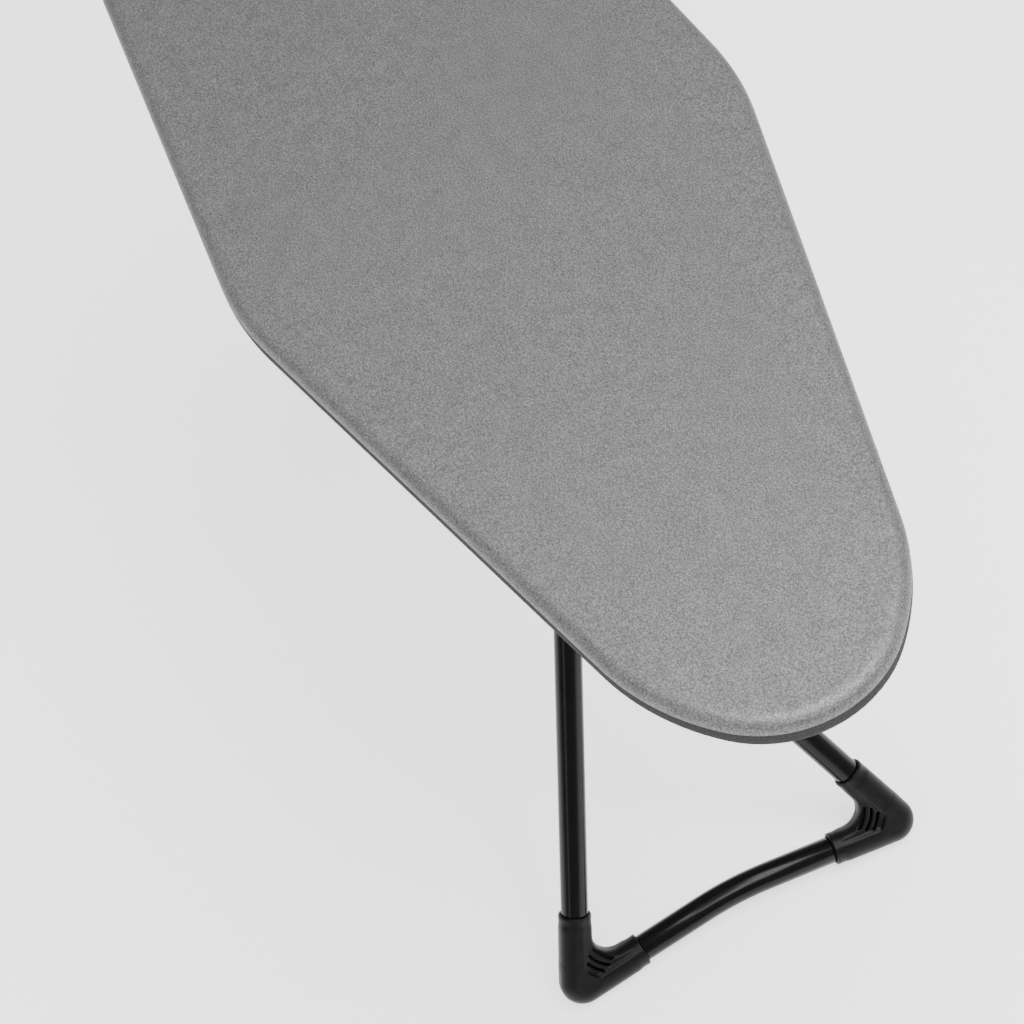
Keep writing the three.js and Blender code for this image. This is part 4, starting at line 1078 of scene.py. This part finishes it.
# ---- Lever ----
# The height lever is a bent rod under the deck with a plastic grip near the board's edge. Lifting it
# takes the rubber-faced plate off the slide bar, and a small torsion spring turns it back.
LEVER_AXIS_Y = -0.034
LEVER_AXIS_Z = 0.8366
LEVER_REACH = 0.140
LEVER_DROP = 0.008
LEVER_X = -0.090
LEVER_BEND = 0.016
LEVER_ROD = 0.0035
GRIP_ON_ROD = 0.062
GRIP_LENGTH = 0.0647
GRIP_HALF_WIDTH = 0.0078
GRIP_HALF_THICK = 0.0054
GRIP_STATIONS = 33
GRIP_SIDES = 40
ROUNDED_SHARE = 0.05

low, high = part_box("lever_rod")
hand_end = Vector((LEVER_X, LEVER_REACH, LEVER_AXIS_Z - LEVER_DROP))
lever_corners = [(high.x, LEVER_AXIS_Y, LEVER_AXIS_Z), (LEVER_X, LEVER_AXIS_Y, LEVER_AXIS_Z), hand_end]
rod = pipe("lever_bent_rod", bent_path(lever_corners, LEVER_BEND, 0.002), LEVER_ROD, sides=32)
fit(rod, "lever", zinc, "zinc_steel", "lever_rod")

reach = Vector((0, LEVER_REACH - LEVER_AXIS_Y, -LEVER_DROP)).normalized()
grip_start = hand_end - reach * GRIP_ON_ROD
beyond = reach.cross(Vector((1, 0, 0)))
grip_points, grip_faces = [], []
for k in range(GRIP_STATIONS):
    t = k / (GRIP_STATIONS - 1)
    from_end = min(t, 1 - t)
    swell = 1 - 0.05 * math.cos(2 * math.pi * t * 4) * (1 if 0.1 < t < 0.9 else 0)
    end = math.sqrt(max(0.0, 1 - (1 - min(from_end / ROUNDED_SHARE, 1)) ** 2))
    centre = grip_start + reach * GRIP_LENGTH * t
    wide = GRIP_HALF_WIDTH * swell * (0.55 + 0.45 * end)
    thick = GRIP_HALF_THICK * swell * (0.75 + 0.25 * end)
    for s in range(GRIP_SIDES):
        a = 2 * math.pi * s / GRIP_SIDES
        grip_points.append(centre + Vector((wide * math.cos(a), 0, 0)) + beyond * thick * math.sin(a))
for start in range(0, (GRIP_STATIONS - 1) * GRIP_SIDES, GRIP_SIDES):
    for s in range(GRIP_SIDES):
        n = (s + 1) % GRIP_SIDES
        grip_faces.append((start + s, start + n, start + GRIP_SIDES + n, start + GRIP_SIDES + s))
grip_faces.append(tuple(range(GRIP_SIDES)))
grip_faces.append(tuple(reversed(range((GRIP_STATIONS - 1) * GRIP_SIDES, GRIP_STATIONS * GRIP_SIDES))))
grip = mesh_object("lever_hand_grip", grip_points, grip_faces)
settle_normals(grip)
drilled(grip, [(grip_start - reach * 0.003, hand_end + reach * 0.0003, 0.0038)])
fit(grip, "lever", satin_black, "black_plastic", "lever_grip")

# The spring: a wire wound on a helix.
SPRING_TURNS = 5
SPRING_COIL = 0.0051
SPRING_WIRE = 0.0006
SPRING_PITCH = 0.0022
STEPS = 24

low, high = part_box("return_spring")
spring_path = []
for k in range(SPRING_TURNS * STEPS + 1):
    a = 2 * math.pi * k / STEPS
    along = high.x - SPRING_WIRE - SPRING_PITCH * k / STEPS
    around = (LEVER_AXIS_Y + SPRING_COIL * math.cos(a), LEVER_AXIS_Z + SPRING_COIL * math.sin(a))
    spring_path.append((along, *around))
spring = swept("torsion_spring", spring_path, SPRING_WIRE, sides=10)
fit(spring, "board", zinc, "zinc_steel", "return_spring")

# ---- Sheet-metal parts and small fixings ----
# Crossmembers, rails, brackets and the brake plate are cut and folded from 1.5 mm sheet, with their
# edges lightly broken. The bolt, nut and washers at the cross are stock parts.
def dressed(node, body, material, slot, width=0.0003):
    """A finished copy of a solid: welded, its edges broken by a small bevel, shaded by angle."""
    copy = bpy.data.objects.new(node + "_finished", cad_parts[node].data.copy())
    scene.collection.objects.link(copy)
    shell = bmesh.new()
    shell.from_mesh(copy.data)
    bmesh.ops.remove_doubles(shell, verts=shell.verts, dist=2e-6)
    bmesh.ops.dissolve_limit(shell, angle_limit=math.radians(1), verts=shell.verts, edges=shell.edges)
    shell.to_mesh(copy.data)
    shell.free()
    if width:
        edge = copy.modifiers.new("broken_edges", "BEVEL")
        edge.width = width
        edge.segments = 2
        edge.limit_method = "ANGLE"
        edge.angle_limit = math.radians(35)
        deps = bpy.context.evaluated_depsgraph_get()
        mesh = bpy.data.meshes.new_from_object(copy.evaluated_get(deps))
        copy.modifiers.clear()
        copy.data = mesh
    sharpen(copy, 30)
    fit(copy, body, material, slot, node)


zinc_sheet, tree, shader = material_with("zinc_sheet", {"Metallic": 1.0})
shaded(tree, shader, place_noise(tree, 45, 5, 0.65), (0.44, 0.45, 0.47), (0.62, 0.63, 0.65))
roughened(tree, shader, place_noise(tree, 300, 4), 0.34, 0.52)
bump(tree, shader, place_noise(tree, 500, 3), 0.06, 0.0002)

lining_rubber, tree, shader = material_with("lining_rubber", {"Roughness": 0.85})
shaded(tree, shader, place_noise(tree, 300, 3), (0.035, 0.035, 0.035), (0.06, 0.06, 0.06))
bump(tree, shader, place_noise(tree, 900, 3), 0.4, 0.0004)

dressed("deck", "board", zinc_sheet, "deck_steel", 0)
for node in sorted(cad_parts):
    if node.startswith("crossmember_"):
        dressed(node, "board", gloss_black, "black_paint")
    elif node.startswith(("rail_left", "rail_right", "hinge_bracket_", "lever_bracket_")):
        dressed(node, "board", zinc_sheet, "zinc_steel")
    elif node in ("cross_bolt", "cross_nut"):
        dressed(node, "nose_leg", zinc, "zinc_steel")
    elif node.startswith(("cross_spacer", "cross_washer_")):
        dressed(node, "nose_leg", grey_nylon, "grey_plastic")
dressed("brake_plate", "lever", zinc_sheet, "zinc_steel")
dressed("brake_lining", "lever", lining_rubber, "lining_rubber")
